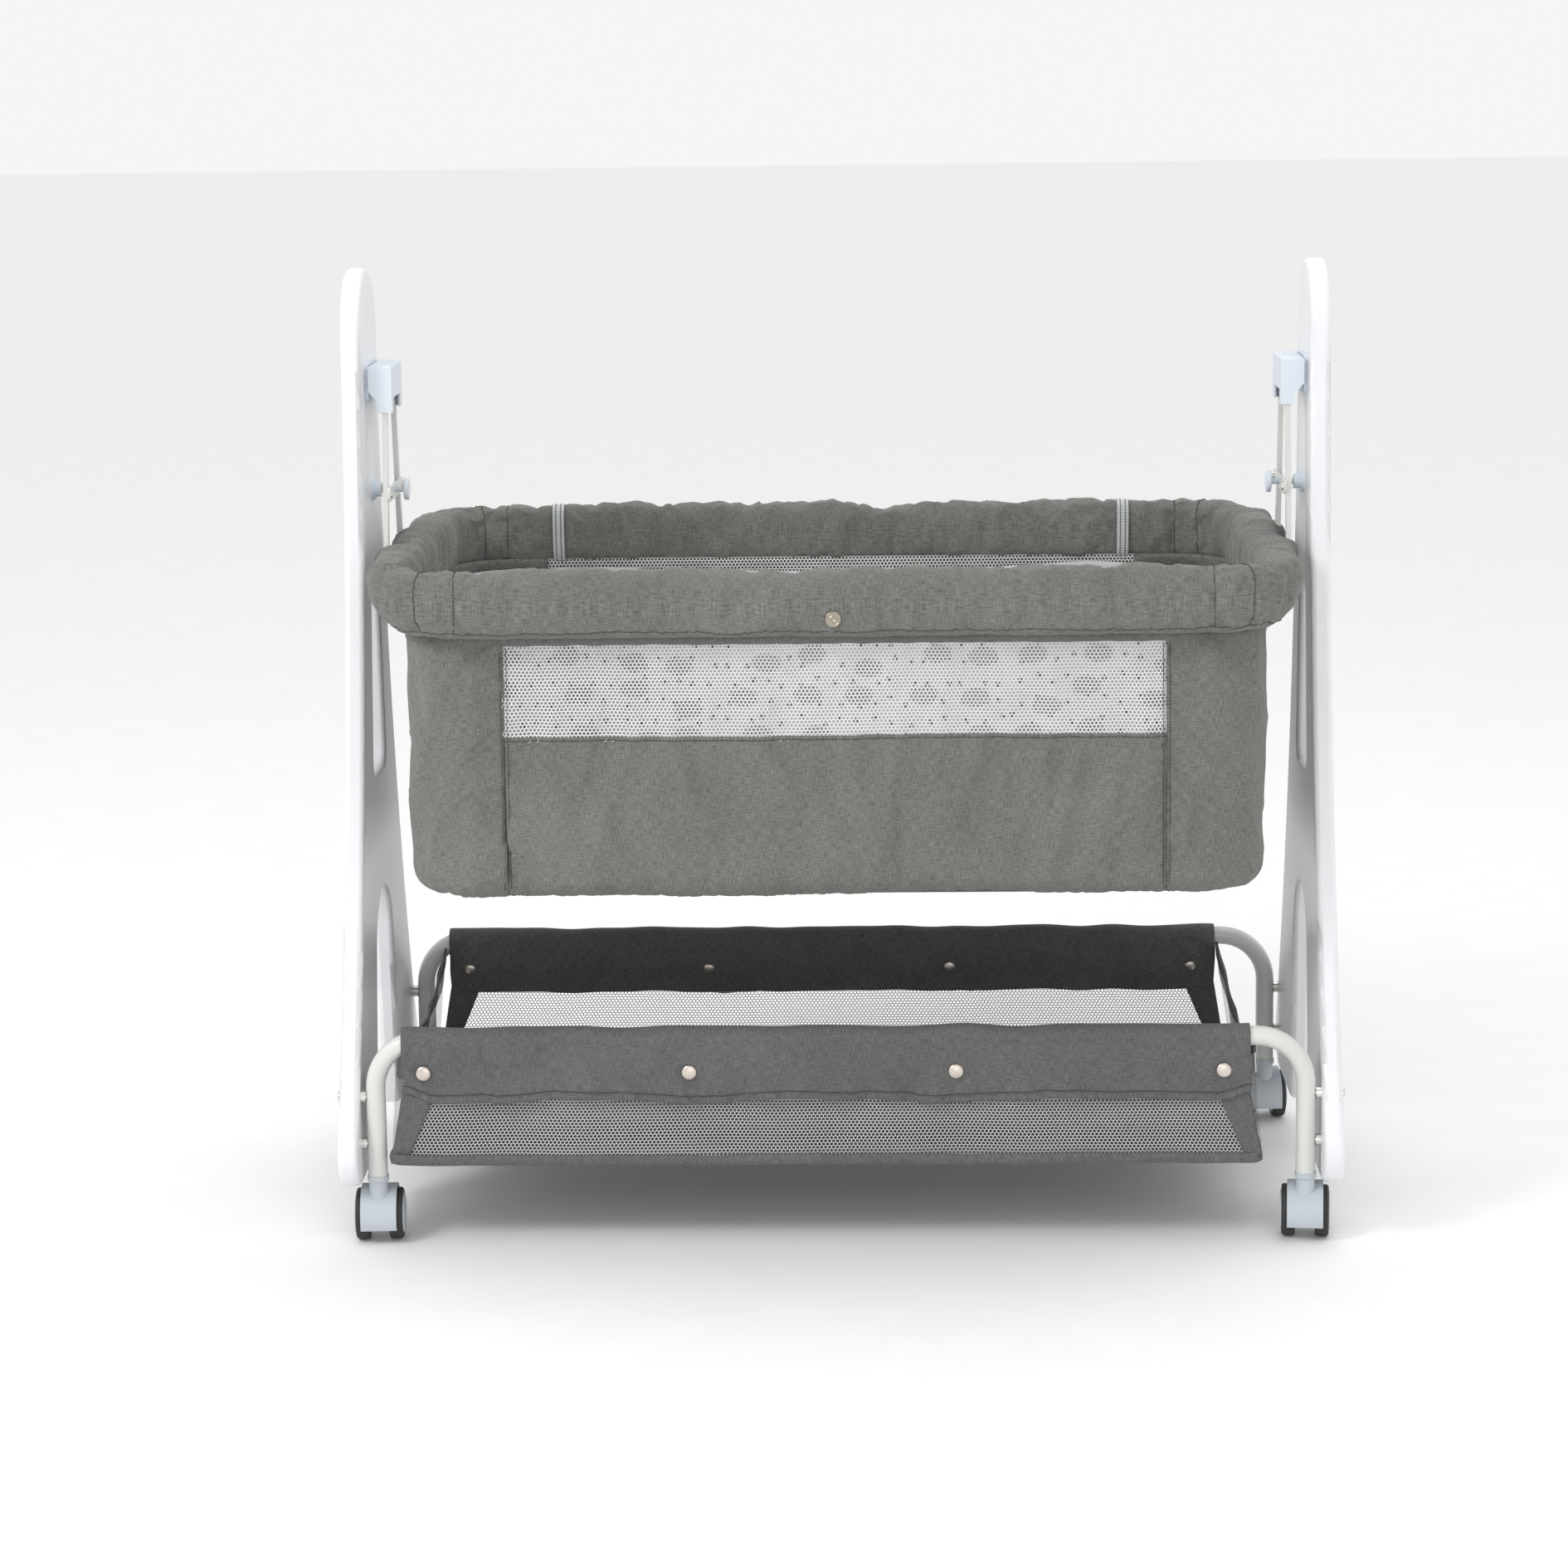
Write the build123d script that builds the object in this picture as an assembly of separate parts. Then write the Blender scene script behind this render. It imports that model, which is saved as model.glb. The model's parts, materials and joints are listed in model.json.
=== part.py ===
from build123d import *
import os
from math import cos, radians, sin, sqrt

# Rocking bassinet on a wheeled stand.  Millimetres, +Z up, +X along the length,
# -Y towards the front.  The origin is on the floor under the middle of the stand.

# ---- driving dimensions -------------------------------------------------
PANEL_INNER_X = 468.0        # inner face of each end panel
PANEL_THICKNESS = 20.0
PANEL_EDGE_RADIUS = 5.5
PANEL_FOOT_Z = 58.0
PANEL_TOP_RADIUS = 62.0
PANEL_TOP_CENTRE_Z = 881.0
PANEL_FLARE_RADIUS = 1800.0
PANEL_FOOT_CORNER = 35.0
SLOT_BOTTOM_Z, SLOT_TOP_Z = 432.0, 617.0
SLOT_BOTTOM_HALF, SLOT_TOP_HALF = 46.0, 25.0
SLOT_CORNER = 18.0
ARCH_FOOT_HALF, ARCH_MIDDLE_HALF, ARCH_SHOULDER_HALF = 85.0, 72.5, 57.0
ARCH_SHOULDER_Z, ARCH_TOP_Z = 262.0, 308.0

TUBE_RADIUS, TUBE_BORE = 9.5, 8.0
TUBE_LEG_X, TUBE_Y = 453.0, 206.0
TUBE_TOP_Z, TUBE_FOOT_Z = 204.0, 67.5
TUBE_BEND_RADIUS = 48.0
LEG_BOLT_HEIGHTS = (100.0, 147.0)
LEG_BOLT_RADIUS = 3.0
LEG_BOLT_HEAD = 5.5

PIVOT_Z = 832.0
PIVOT_BOLT_RADIUS = 4.0
RUNNING_GAP = 0.05           # radial, shaft in a hole
BODY_GAP = 0.5               # between neighbours that move past each other
PIVOT_PLATE_THICKNESS = 3.4

COVER_INNER_X, COVER_OUTER_X = 441.0, 464.1
COVER_TOP_Z, COVER_SHOULDER_Z, COVER_NECK_Z, COVER_FOOT_Z = 848.0, 822.0, 811.0, 801.0
COVER_NECK_X = 454.6
COVER_HALF_WIDTH = 40.0
COVER_WALL = 2.0
YOKE_PLATE_X = 446.7         # inboard face of the pivot plate of the yoke
YOKE_PLATE_THICKNESS = 4.0
ROD_THICKNESS, ROD_WIDTH = 5.0, 9.0
ROD_TOP = (448.7, 33.0, 803.0)
ROD_FOOT = (448.2, 57.0, 636.0)

LOCK_Z = 720.0
LOCK_PIN_RADIUS = 3.0
LOCK_TRAVEL = 7.0
STRAP_INNER_X, STRAP_THICKNESS = 443.3, 2.5
STRAP_HALF_LENGTH, STRAP_HEIGHT = 53.0, 14.0
KNOB_RADIUS, KNOB_THICKNESS = 11.0, 5.0
SOCKET_FACE_X, SOCKET_RADIUS, SOCKET_BORE = 458.4, 7.5, 4.2
LOCK_PIN_TIP_X = 457.2

RIM_TUBE_HALF_X, RIM_TUBE_HALF_Y = 439.3, 258.0
RIM_TUBE_CORNER, RIM_TUBE_RADIUS, RIM_TUBE_Z = 62.0, 6.0, 640.0
SLEEVE_HALF_X, SLEEVE_HALF_Y, SLEEVE_CORNER = 453.0, 275.0, 78.0
OPENING_HALF_X, OPENING_HALF_Y, OPENING_CORNER = 404.0, 241.0, 50.0
SLEEVE_BOTTOM_Z, SLEEVE_TOP_Z = 608.0, 670.0
SLEEVE_CREST_RADIUS = 15.0

WALL_HALF_X, WALL_HALF_Y, WALL_CORNER, WALL_THICKNESS = 413.0, 245.0, 66.0, 4.0
BODY_BOTTOM_Z, FLOOR_CLOTH = 355.0, 3.0
WINDOW_HALF_X = 310.0        # the front and rear panels lie between these seams
WINDOW_BOTTOM_Z, WINDOW_TOP_Z = 510.0, 598.0
NET_THICKNESS = 1.4
BOARD_THICKNESS, MATTRESS_THICKNESS = 4.0, 30.0
LINER_GAP, LINER_THICKNESS, LINER_TOP_Z = 1.0, 1.5, 590.0

ZIP_X, ZIP_WIDTH, ZIP_THICKNESS = 302.0, 22.0, 1.2
ZIP_FOOT_Z = 372.0
ZIP_SLIDER_Z = 588.0
RIM_SNAP_Z, RIM_SNAP_RADIUS = 626.0, 7.5

BASKET_SHIFT_X = -14.0       # the basket has slid a little along its tubes
BAND_HALF_X, BAND_BOTTOM_Z, BAND_CLOTH = 412.0, 150.0, 2.4
BASKET_FLOOR_HALF_X, BASKET_FLOOR_Z = 424.0, 84.0
BASKET_FLOOR_THICKNESS = 4.0
BASKET_FLOOR_HALF_Y = 222.0
BASKET_SNAP_Z, BASKET_SNAP_PITCH, BASKET_SNAP_RADIUS = 173.0, 259.0, 7.0
BASKET_END_SAG_Z = 166.0
BASKET_END_TOP_Z = 194.0
STRIP_WIDTH = 26.0

WHEEL_RADIUS, TYRE_BORE = 25.0, 19.5
WHEEL_INNER, WHEEL_OUTER = 9.6, 23.0
CASTER_TRAIL = 13.0
CASTER_YAW = {"front_left": 3.0, "front_right": -6.0, "rear_left": 10.0, "rear_right": 4.0}
HOOD_RADIUS, HOOD_BORE, HOOD_HALF_WIDTH = 29.5, 26.5, 17.5
HOOD_WEB_HALF_WIDTH = 8.6
HOOD_TOP_Z = 62.0
STEM_RADIUS, STEM_TOP_Z, STEM_FOOT_Z = 5.0, 92.0, 46.0
AXLE_RADIUS = 3.0
COLLAR_RADIUS, COLLAR_BOTTOM_Z = 10.5, 62.6

SIDES = {"left": -1, "right": 1}
PANEL_OUTER_X = PANEL_INNER_X + PANEL_THICKNESS


# ---- helpers ------------------------------------------------------------
def write(node, shape):
    """Writes one sub-part under its own name."""
    shape.label = node
    export_step(shape, f"parts/{node}.step")


def group(shapes):
    """Separate pieces that share one node."""
    return Compound(children=list(shapes))


def box(x, y, z):
    """A box between pairs of limits."""
    centre = Pos((x[0] + x[1]) / 2, (y[0] + y[1]) / 2, (z[0] + z[1]) / 2)
    return centre * Box(abs(x[1] - x[0]), abs(y[1] - y[0]), abs(z[1] - z[0]))


def rod_x(x0, x1, y, z, radius):
    """A round bar along X."""
    middle = Pos((x0 + x1) / 2, y, z)
    return middle * Rot(0, 90, 0) * Cylinder(radius, abs(x1 - x0))


def rod_z(x, y, z0, z1, radius):
    """A round bar along Z."""
    return Pos(x, y, (z0 + z1) / 2) * Cylinder(radius, z1 - z0)


def prism_x(outline, x0, x1):
    """An outline drawn in Y and Z, drawn out along X."""
    return Pos(x0, 0, 0) * extrude(Plane.YZ * outline, amount=x1 - x0, dir=(1, 0, 0))


def prism_y(outline, half):
    """An outline drawn in X and Z, drawn out along Y to both sides of the middle."""
    return Pos(0, -half, 0) * extrude(Plane.XZ * outline, amount=2 * half, dir=(0, 1, 0))


def front_and_rear(shape):
    """A front piece and its mirror image at the rear."""
    return [shape, mirror(shape, Plane.XZ)]


def rounded_block(half_x, half_y, corner, z0, z1):
    """A block with rounded upright corners."""
    outline = RectangleRounded(2 * half_x, 2 * half_y, corner)
    return Pos(0, 0, z0) * extrude(outline, amount=z1 - z0)


def dome_head(side, x_face, y, z, radius, height):
    """A low domed bolt head that stands on a face and looks outwards."""
    head = rod_x(side * x_face, side * (x_face + height), y, z, radius)
    rim = head.faces().sort_by(Axis.X)[-1 if side > 0 else 0].edges()
    return fillet(rim, height * 0.8)


# ---- end panels ---------------------------------------------------------
def flare_half_width(z):
    """Half the panel's depth at height z, on the long side arc."""
    drop = PANEL_TOP_CENTRE_Z - z
    return PANEL_TOP_RADIUS + PANEL_FLARE_RADIUS - sqrt(PANEL_FLARE_RADIUS**2 - drop**2)


def panel_outline():
    """Round top, long flared sides and a flat foot with round corners."""
    foot = flare_half_width(PANEL_FOOT_Z)
    middle_z = (PANEL_TOP_CENTRE_Z + PANEL_FOOT_Z) / 2
    middle = flare_half_width(middle_z)
    crown_z = PANEL_TOP_CENTRE_Z + PANEL_TOP_RADIUS
    crown_left = (-PANEL_TOP_RADIUS, PANEL_TOP_CENTRE_Z)
    crown_right = (PANEL_TOP_RADIUS, PANEL_TOP_CENTRE_Z)
    edges = [
        ThreePointArc(crown_left, (0, crown_z), crown_right),
        ThreePointArc(crown_right, (middle, middle_z), (foot, PANEL_FOOT_Z)),
        Line((foot, PANEL_FOOT_Z), (-foot, PANEL_FOOT_Z)),
        ThreePointArc((-foot, PANEL_FOOT_Z), (-middle, middle_z), crown_left),
    ]
    face = make_face(Wire(edges))
    corners = face.vertices().group_by(Axis.Y)[0]
    return fillet(corners, PANEL_FOOT_CORNER)


def slot_outline():
    """Tapered slot in the upper half of the panel."""
    slot = Polygon(
        (-SLOT_BOTTOM_HALF, SLOT_BOTTOM_Z),
        (SLOT_BOTTOM_HALF, SLOT_BOTTOM_Z),
        (SLOT_TOP_HALF, SLOT_TOP_Z),
        (-SLOT_TOP_HALF, SLOT_TOP_Z),
        align=None,
    )
    return fillet(slot.vertices(), SLOT_CORNER)


def arch_outline():
    """The arch that leaves the panel two feet."""
    under = PANEL_FOOT_Z - 1
    middle_z = (PANEL_FOOT_Z + ARCH_SHOULDER_Z) / 2
    shoulder_left = (-ARCH_SHOULDER_HALF, ARCH_SHOULDER_Z)
    shoulder_right = (ARCH_SHOULDER_HALF, ARCH_SHOULDER_Z)
    edges = [
        Line((-ARCH_FOOT_HALF, under), (ARCH_FOOT_HALF, under)),
        ThreePointArc((ARCH_FOOT_HALF, under), (ARCH_MIDDLE_HALF, middle_z), shoulder_right),
        ThreePointArc(shoulder_right, (0, ARCH_TOP_Z), shoulder_left),
        ThreePointArc(shoulder_left, (-ARCH_MIDDLE_HALF, middle_z), (-ARCH_FOOT_HALF, under)),
    ]
    return make_face(Wire(edges))


def end_panel(side):
    """One end panel with its bolt holes."""
    outline = panel_outline() - slot_outline() - arch_outline()
    board = extrude(Plane.YZ * outline, amount=PANEL_THICKNESS)
    rims = board.faces().sort_by(Axis.X)[0].edges() + board.faces().sort_by(Axis.X)[-1].edges()
    board = fillet(rims, PANEL_EDGE_RADIUS)
    start = PANEL_INNER_X if side > 0 else -PANEL_OUTER_X
    board = Pos(start, 0, 0) * board
    through = (side * (PANEL_INNER_X - 1), side * (PANEL_OUTER_X + 1))
    board -= rod_x(*through, 0, PIVOT_Z, PIVOT_BOLT_RADIUS)
    for y in (-TUBE_Y, TUBE_Y):
        for z in LEG_BOLT_HEIGHTS:
            board -= rod_x(*through, y, z, LEG_BOLT_RADIUS)
    return board


# ---- base tubes and their fixings ---------------------------------------
def bent_bar(y, radius):
    """A solid round bar along the route of a base tube: leg, bar, leg."""
    path = FilletPolyline(
        (-TUBE_LEG_X, y, TUBE_FOOT_Z),
        (-TUBE_LEG_X, y, TUBE_TOP_Z),
        (TUBE_LEG_X, y, TUBE_TOP_Z),
        (TUBE_LEG_X, y, TUBE_FOOT_Z),
        radius=TUBE_BEND_RADIUS,
    )
    return sweep(Plane(path @ 0, z_dir=path % 0) * Circle(radius), path=path)


def base_tube(y):
    """One bent tube: two legs and the bar that the basket hangs on."""
    tube = bent_bar(y, TUBE_RADIUS) - bent_bar(y, TUBE_BORE)
    for side in SIDES.values():
        for z in LEG_BOLT_HEIGHTS:
            tube -= rod_x(side * TUBE_LEG_X, side * PANEL_INNER_X, y, z, LEG_BOLT_RADIUS)
    return tube


def leg_fixings():
    """Bolts and spacers that hold the tubes to the panels."""
    bolts = []
    spacers = []
    for side in SIDES.values():
        for y in (-TUBE_Y, TUBE_Y):
            for z in LEG_BOLT_HEIGHTS:
                shank = rod_x(side * (TUBE_LEG_X - 4), side * PANEL_OUTER_X, y, z, LEG_BOLT_RADIUS)
                bolts.append(shank + dome_head(side, PANEL_OUTER_X, y, z, LEG_BOLT_HEAD, 2.6))
                ends = (side * (TUBE_LEG_X + TUBE_RADIUS), side * PANEL_INNER_X)
                spacers.append(rod_x(*ends, y, z, 6.0) - rod_x(*ends, y, z, LEG_BOLT_RADIUS))
    return group(bolts), group(spacers)


# ---- swing pivots -------------------------------------------------------
def pivot_bolt_and_nut(side):
    """The bolt is fast in the panel; the nut sits inside the hanger cover."""
    nut_x = (YOKE_PLATE_X - 0.4, YOKE_PLATE_X - 3.4)
    shank = rod_x(side * nut_x[1], side * PANEL_OUTER_X, 0, PIVOT_Z, PIVOT_BOLT_RADIUS)
    bolt = shank + dome_head(side, PANEL_OUTER_X, 0, PIVOT_Z, 8.0, 2.9)
    nut = Plane.YZ * extrude(RegularPolygon(7.0, 6), amount=nut_x[0] - nut_x[1])
    nut = Pos(nut_x[1] if side > 0 else -nut_x[0], 0, PIVOT_Z) * nut
    nut -= rod_x(side * 440, side * 450, 0, PIVOT_Z, PIVOT_BOLT_RADIUS)
    return [bolt, nut]


def pivot_plate(side):
    """Plastic plate on the inner face of the panel, behind the hanger cover."""
    plate = Plane.YZ * extrude(RectangleRounded(70, 40, 8), amount=PIVOT_PLATE_THICKNESS)
    start = PANEL_INNER_X - PIVOT_PLATE_THICKNESS if side > 0 else -PANEL_INNER_X
    plate = Pos(start, 0, PIVOT_Z - 2) * plate
    ends = (side * (PANEL_INNER_X - 5), side * (PANEL_INNER_X + 1))
    return plate - rod_x(*ends, 0, PIVOT_Z, PIVOT_BOLT_RADIUS)


def pivot_bush(side):
    """Nylon bush that turns on the bolt with the yoke."""
    flange_x = YOKE_PLATE_X + YOKE_PLATE_THICKNESS
    face_x = PANEL_INNER_X - PIVOT_PLATE_THICKNESS - BODY_GAP
    bush = rod_x(side * YOKE_PLATE_X, side * flange_x, 0, PIVOT_Z, 7.0)
    bush += rod_x(side * flange_x, side * face_x, 0, PIVOT_Z, 8.2)
    return bush - rod_x(side * 440, side * 470, 0, PIVOT_Z, PIVOT_BOLT_RADIUS + RUNNING_GAP)


# ---- hangers ------------------------------------------------------------
def hanger_rod(side, front, spare=0.0):
    """One flat rod of the yoke; spare thickens it all round, to cut its slot."""
    top = Vector(side * ROD_TOP[0], front * ROD_TOP[1], ROD_TOP[2])
    foot = Vector(side * ROD_FOOT[0], front * ROD_FOOT[1], ROD_FOOT[2])
    run = foot - top
    plane = Plane(top, x_dir=Vector(1, 0, -run.X / run.Z), z_dir=run)
    section = Rectangle(ROD_THICKNESS + 2 * spare, ROD_WIDTH + 2 * spare)
    return extrude(plane * section, amount=run.length + spare)


def hanger_yoke(side):
    """Pivot plate with two rods that spread down to the rim."""
    plate = Rectangle(2 * 37.5, 48) - Pos(0, -18) * RectangleRounded(2 * 27, 36, 8)
    plate = Plane.YZ * extrude(plate, amount=YOKE_PLATE_THICKNESS)
    start = YOKE_PLATE_X if side > 0 else -YOKE_PLATE_X - YOKE_PLATE_THICKNESS
    yoke = Pos(start, 0, 821.5) * plate
    for front in (-1, 1):
        yoke += hanger_rod(side, front)
    yoke -= rod_x(side * 440, side * 460, 0, PIVOT_Z, 7.0)
    for front in (-1, 1):
        yoke -= strap_bolt(side, front, head=False)
    return yoke


def cover_profile(grow):
    """The hanger cover seen from the front; grow moves every side inwards."""
    return Polygon(
        (COVER_INNER_X + grow, COVER_FOOT_Z - (1 if grow else 0)),
        (COVER_INNER_X + grow, COVER_TOP_Z - grow),
        (COVER_OUTER_X + (1 if grow else 0), COVER_TOP_Z - grow),
        (COVER_OUTER_X + (1 if grow else 0), COVER_SHOULDER_Z + grow * 0.6),
        (COVER_NECK_X - grow, COVER_NECK_Z + grow * 0.6),
        (COVER_NECK_X - grow, COVER_FOOT_Z - (1 if grow else 0)),
        align=None,
    )


def hanger_cover(side):
    """Plastic shroud over the pivot, open towards the panel and at its two necks."""
    outer = prism_y(cover_profile(0), COVER_HALF_WIDTH)
    outer = fillet([edge for edge in outer.edges() if edge.center().Z > COVER_TOP_Z - 0.1], 3.5)
    hollow = prism_y(cover_profile(COVER_WALL), COVER_HALF_WIDTH - COVER_WALL)
    saddle = box((430, 470), (-26.5, 26.5), (COVER_FOOT_Z - 5, COVER_NECK_Z + 4))
    shroud = outer - hollow - saddle
    return shroud if side > 0 else mirror(shroud, Plane.YZ)


# ---- swing lock ---------------------------------------------------------
def rod_y_at(z):
    """Distance of a rod's middle from the centre plane at height z."""
    share = (ROD_TOP[2] - z) / (ROD_TOP[2] - ROD_FOOT[2])
    return ROD_TOP[1] + share * (ROD_FOOT[1] - ROD_TOP[1])


def strap_bolt(side, front, head=True):
    """Small bolt through the strap and a rod."""
    y = front * rod_y_at(LOCK_Z)
    bolt = rod_x(side * STRAP_INNER_X, side * (STRAP_INNER_X + 9.5), y, LOCK_Z, 2.0)
    if head:
        bolt += rod_x(side * (STRAP_INNER_X - 2), side * STRAP_INNER_X, y, LOCK_Z, 4.0)
    return bolt


def lock_strap(side):
    """Flat strap across the two rods that carries the lock pin."""
    outer_x = STRAP_INNER_X + STRAP_THICKNESS
    strap = Plane.YZ * extrude(
        RectangleRounded(2 * STRAP_HALF_LENGTH, STRAP_HEIGHT, 5), amount=STRAP_THICKNESS
    )
    strap = Pos(STRAP_INNER_X if side > 0 else -outer_x, 0, LOCK_Z) * strap
    strap -= rod_x(side * 440, side * 450, 0, LOCK_Z, LOCK_PIN_RADIUS + RUNNING_GAP)
    for front in (-1, 1):
        strap -= strap_bolt(side, front, head=False)
    return strap


def lock_knob(side):
    """Round knob on a pin; shown drawn back, so that the bassinet swings."""
    face_x = STRAP_INNER_X - LOCK_TRAVEL - BODY_GAP
    knob = rod_x(side * (face_x - KNOB_THICKNESS), side * face_x, 0, LOCK_Z, KNOB_RADIUS)
    knob = fillet(knob.edges().filter_by(GeomType.CIRCLE), 1.5)
    return knob + rod_x(side * face_x, side * LOCK_PIN_TIP_X, 0, LOCK_Z, LOCK_PIN_RADIUS)


def lock_socket(side):
    """Plastic socket on the panel that the lock pin enters."""
    body = rod_x(side * SOCKET_FACE_X, side * PANEL_INNER_X, 0, LOCK_Z, SOCKET_RADIUS)
    body += rod_x(side * (PANEL_INNER_X - 3), side * PANEL_INNER_X, 0, LOCK_Z, 11.0)
    return body - rod_x(side * 455, side * (PANEL_INNER_X - 1.5), 0, LOCK_Z, SOCKET_BORE)


# ---- rim ----------------------------------------------------------------
def rim_tube():
    """Closed steel ring inside the padded sleeve."""
    outline = RectangleRounded(2 * RIM_TUBE_HALF_X, 2 * RIM_TUBE_HALF_Y, RIM_TUBE_CORNER)
    path = Pos(0, 0, RIM_TUBE_Z) * outline.wire()
    start = Plane(path @ 0, z_dir=path % 0)
    return sweep(start * Circle(RIM_TUBE_RADIUS), path=path)


def rim_sleeve():
    """Padded cloth sleeve round the ring, with slots for the rods."""
    outer = rounded_block(SLEEVE_HALF_X, SLEEVE_HALF_Y, SLEEVE_CORNER, SLEEVE_BOTTOM_Z, SLEEVE_TOP_Z)
    outer = fillet(outer.edges().group_by(Axis.Z)[-1], SLEEVE_CREST_RADIUS)
    sleeve = outer - rounded_block(
        OPENING_HALF_X, OPENING_HALF_Y, OPENING_CORNER, SLEEVE_BOTTOM_Z - 1, SLEEVE_TOP_Z + 1
    )
    inner_rim = [
        edge for edge in sleeve.edges()
        if edge.center().Z > SLEEVE_TOP_Z - 0.01
        and abs(edge.center().X) <= OPENING_HALF_X + 0.01
        and abs(edge.center().Y) <= OPENING_HALF_Y + 0.01
    ]
    sleeve = fillet(inner_rim, SLEEVE_CREST_RADIUS * 0.6)
    sleeve -= rim_tube()
    for side in SIDES.values():
        for front in (-1, 1):
            sleeve -= hanger_rod(side, front, spare=0.4)
    sleeve -= snap_body(0.0)
    return sleeve


def snap_body(spare):
    """Round snap half at the front of the sleeve, flush with the cloth."""
    front = -SLEEVE_HALF_Y
    disc = Rot(90, 0, 0) * Cylinder(RIM_SNAP_RADIUS + spare, 4)
    return Pos(0, front + 2, RIM_SNAP_Z) * disc


def rim_snap():
    """The snap's ring, with the dimple of its stud."""
    dimple = Pos(0, -SLEEVE_HALF_Y, RIM_SNAP_Z) * Rot(90, 0, 0) * Cylinder(3, 3)
    return snap_body(0.0) - dimple


# ---- bassinet body ------------------------------------------------------
def wall_ring(z0, z1):
    """A ring of the cloth wall between two heights."""
    outer = rounded_block(WALL_HALF_X, WALL_HALF_Y, WALL_CORNER, z0, z1)
    inner = rounded_block(
        WALL_HALF_X - WALL_THICKNESS,
        WALL_HALF_Y - WALL_THICKNESS,
        WALL_CORNER - WALL_THICKNESS,
        z0 - 1,
        z1 + 1,
    )
    return outer - inner


def cloth_panel(front):
    """Plain cloth below the mesh window."""
    ring = wall_ring(BODY_BOTTOM_Z + FLOOR_CLOTH, WINDOW_BOTTOM_Z)
    y = (front * 300, front * 200)
    return ring & box((-WINDOW_HALF_X, WINDOW_HALF_X), sorted(y), (300, 700))


def end_wrap(side):
    """Cloth round one end, from front seam to rear seam."""
    ring = wall_ring(BODY_BOTTOM_Z + FLOOR_CLOTH, WINDOW_TOP_Z)
    x = sorted((side * WINDOW_HALF_X, side * 500))
    return ring & box(x, (-300, 300), (300, 700))


def mesh_window(front):
    """Net sheet between the cloth panel and the binding."""
    outer_y = WALL_HALF_Y - 1.0
    y = sorted((front * outer_y, front * (outer_y - NET_THICKNESS)))
    return box((-WINDOW_HALF_X, WINDOW_HALF_X), y, (WINDOW_BOTTOM_Z, WINDOW_TOP_Z))


def liner():
    """Printed cloth inside the walls, with its top edge left soft."""
    inset = WALL_THICKNESS + LINER_GAP
    z0 = BODY_BOTTOM_Z + FLOOR_CLOTH + BOARD_THICKNESS + MATTRESS_THICKNESS
    outer = rounded_block(WALL_HALF_X - inset, WALL_HALF_Y - inset, WALL_CORNER - inset, z0, LINER_TOP_Z)
    inset += LINER_THICKNESS
    inner = rounded_block(
        WALL_HALF_X - inset, WALL_HALF_Y - inset, WALL_CORNER - inset, z0 - 1, LINER_TOP_Z + 1
    )
    return outer - inner


def inner_slab(z0, thickness, gap, radius):
    """A slab that lies inside the cloth walls."""
    inset = WALL_THICKNESS + gap
    slab = rounded_block(
        WALL_HALF_X - inset, WALL_HALF_Y - inset, WALL_CORNER - inset, z0, z0 + thickness
    )
    if radius:
        slab = fillet(slab.edges().group_by(Axis.Z)[-1], radius)
    return slab


def zipper_tape(side):
    """Zip tape on the rear panel, and its end over the inside of the rim."""
    x = sorted((side * (ZIP_X - ZIP_WIDTH / 2), side * (ZIP_X + ZIP_WIDTH / 2)))
    x = [min(max(v, -WINDOW_HALF_X - 3), WINDOW_HALF_X + 3) for v in x]
    outside = box(x, (WALL_HALF_Y, WALL_HALF_Y + ZIP_THICKNESS), (ZIP_FOOT_Z, SLEEVE_BOTTOM_Z))
    inside = box(x, (OPENING_HALF_Y - ZIP_THICKNESS, OPENING_HALF_Y), (LINER_TOP_Z + 22, 658))
    return [outside, inside]


def zip_slider(side):
    """Slider body and its hanging pull."""
    face_y = WALL_HALF_Y + ZIP_THICKNESS + 0.4
    x = side * ZIP_X
    body = box((x - 5, x + 5), (face_y, face_y + 4), (ZIP_SLIDER_Z - 7, ZIP_SLIDER_Z + 7))
    pull = box((x - 3.5, x + 3.5), (face_y + 4, face_y + 5.6), (ZIP_SLIDER_Z - 32, ZIP_SLIDER_Z + 3))
    body = fillet(body.edges().filter_by(Axis.Y), 3)
    pull = fillet(pull.edges().filter_by(Axis.Y), 2)
    return body + pull


# ---- storage basket -----------------------------------------------------
def basket_span(half):
    """Ends of a basket piece along its tube."""
    return (BASKET_SHIFT_X - half, BASKET_SHIFT_X + half)


def basket_band():
    """Front cloth band, folded over its tube and snapped to itself below it."""
    y = -TUBE_Y
    radius = TUBE_RADIUS + BAND_CLOTH
    outer_y = y - radius
    inner_y = outer_y + 2 * BAND_CLOTH
    loop = Pos(y, TUBE_TOP_Z) * Circle(radius)
    tail = Polygon(
        (y, TUBE_TOP_Z),
        (outer_y, TUBE_TOP_Z),
        (outer_y, BAND_BOTTOM_Z),
        (inner_y, BAND_BOTTOM_Z),
        (inner_y, BASKET_SNAP_Z - 4),
        (y + radius * 0.8, TUBE_TOP_Z - radius * 0.6),
        align=None,
    )
    band = prism_x(loop + tail, *basket_span(BAND_HALF_X))
    return band - bent_bar(y, TUBE_RADIUS)


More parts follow.
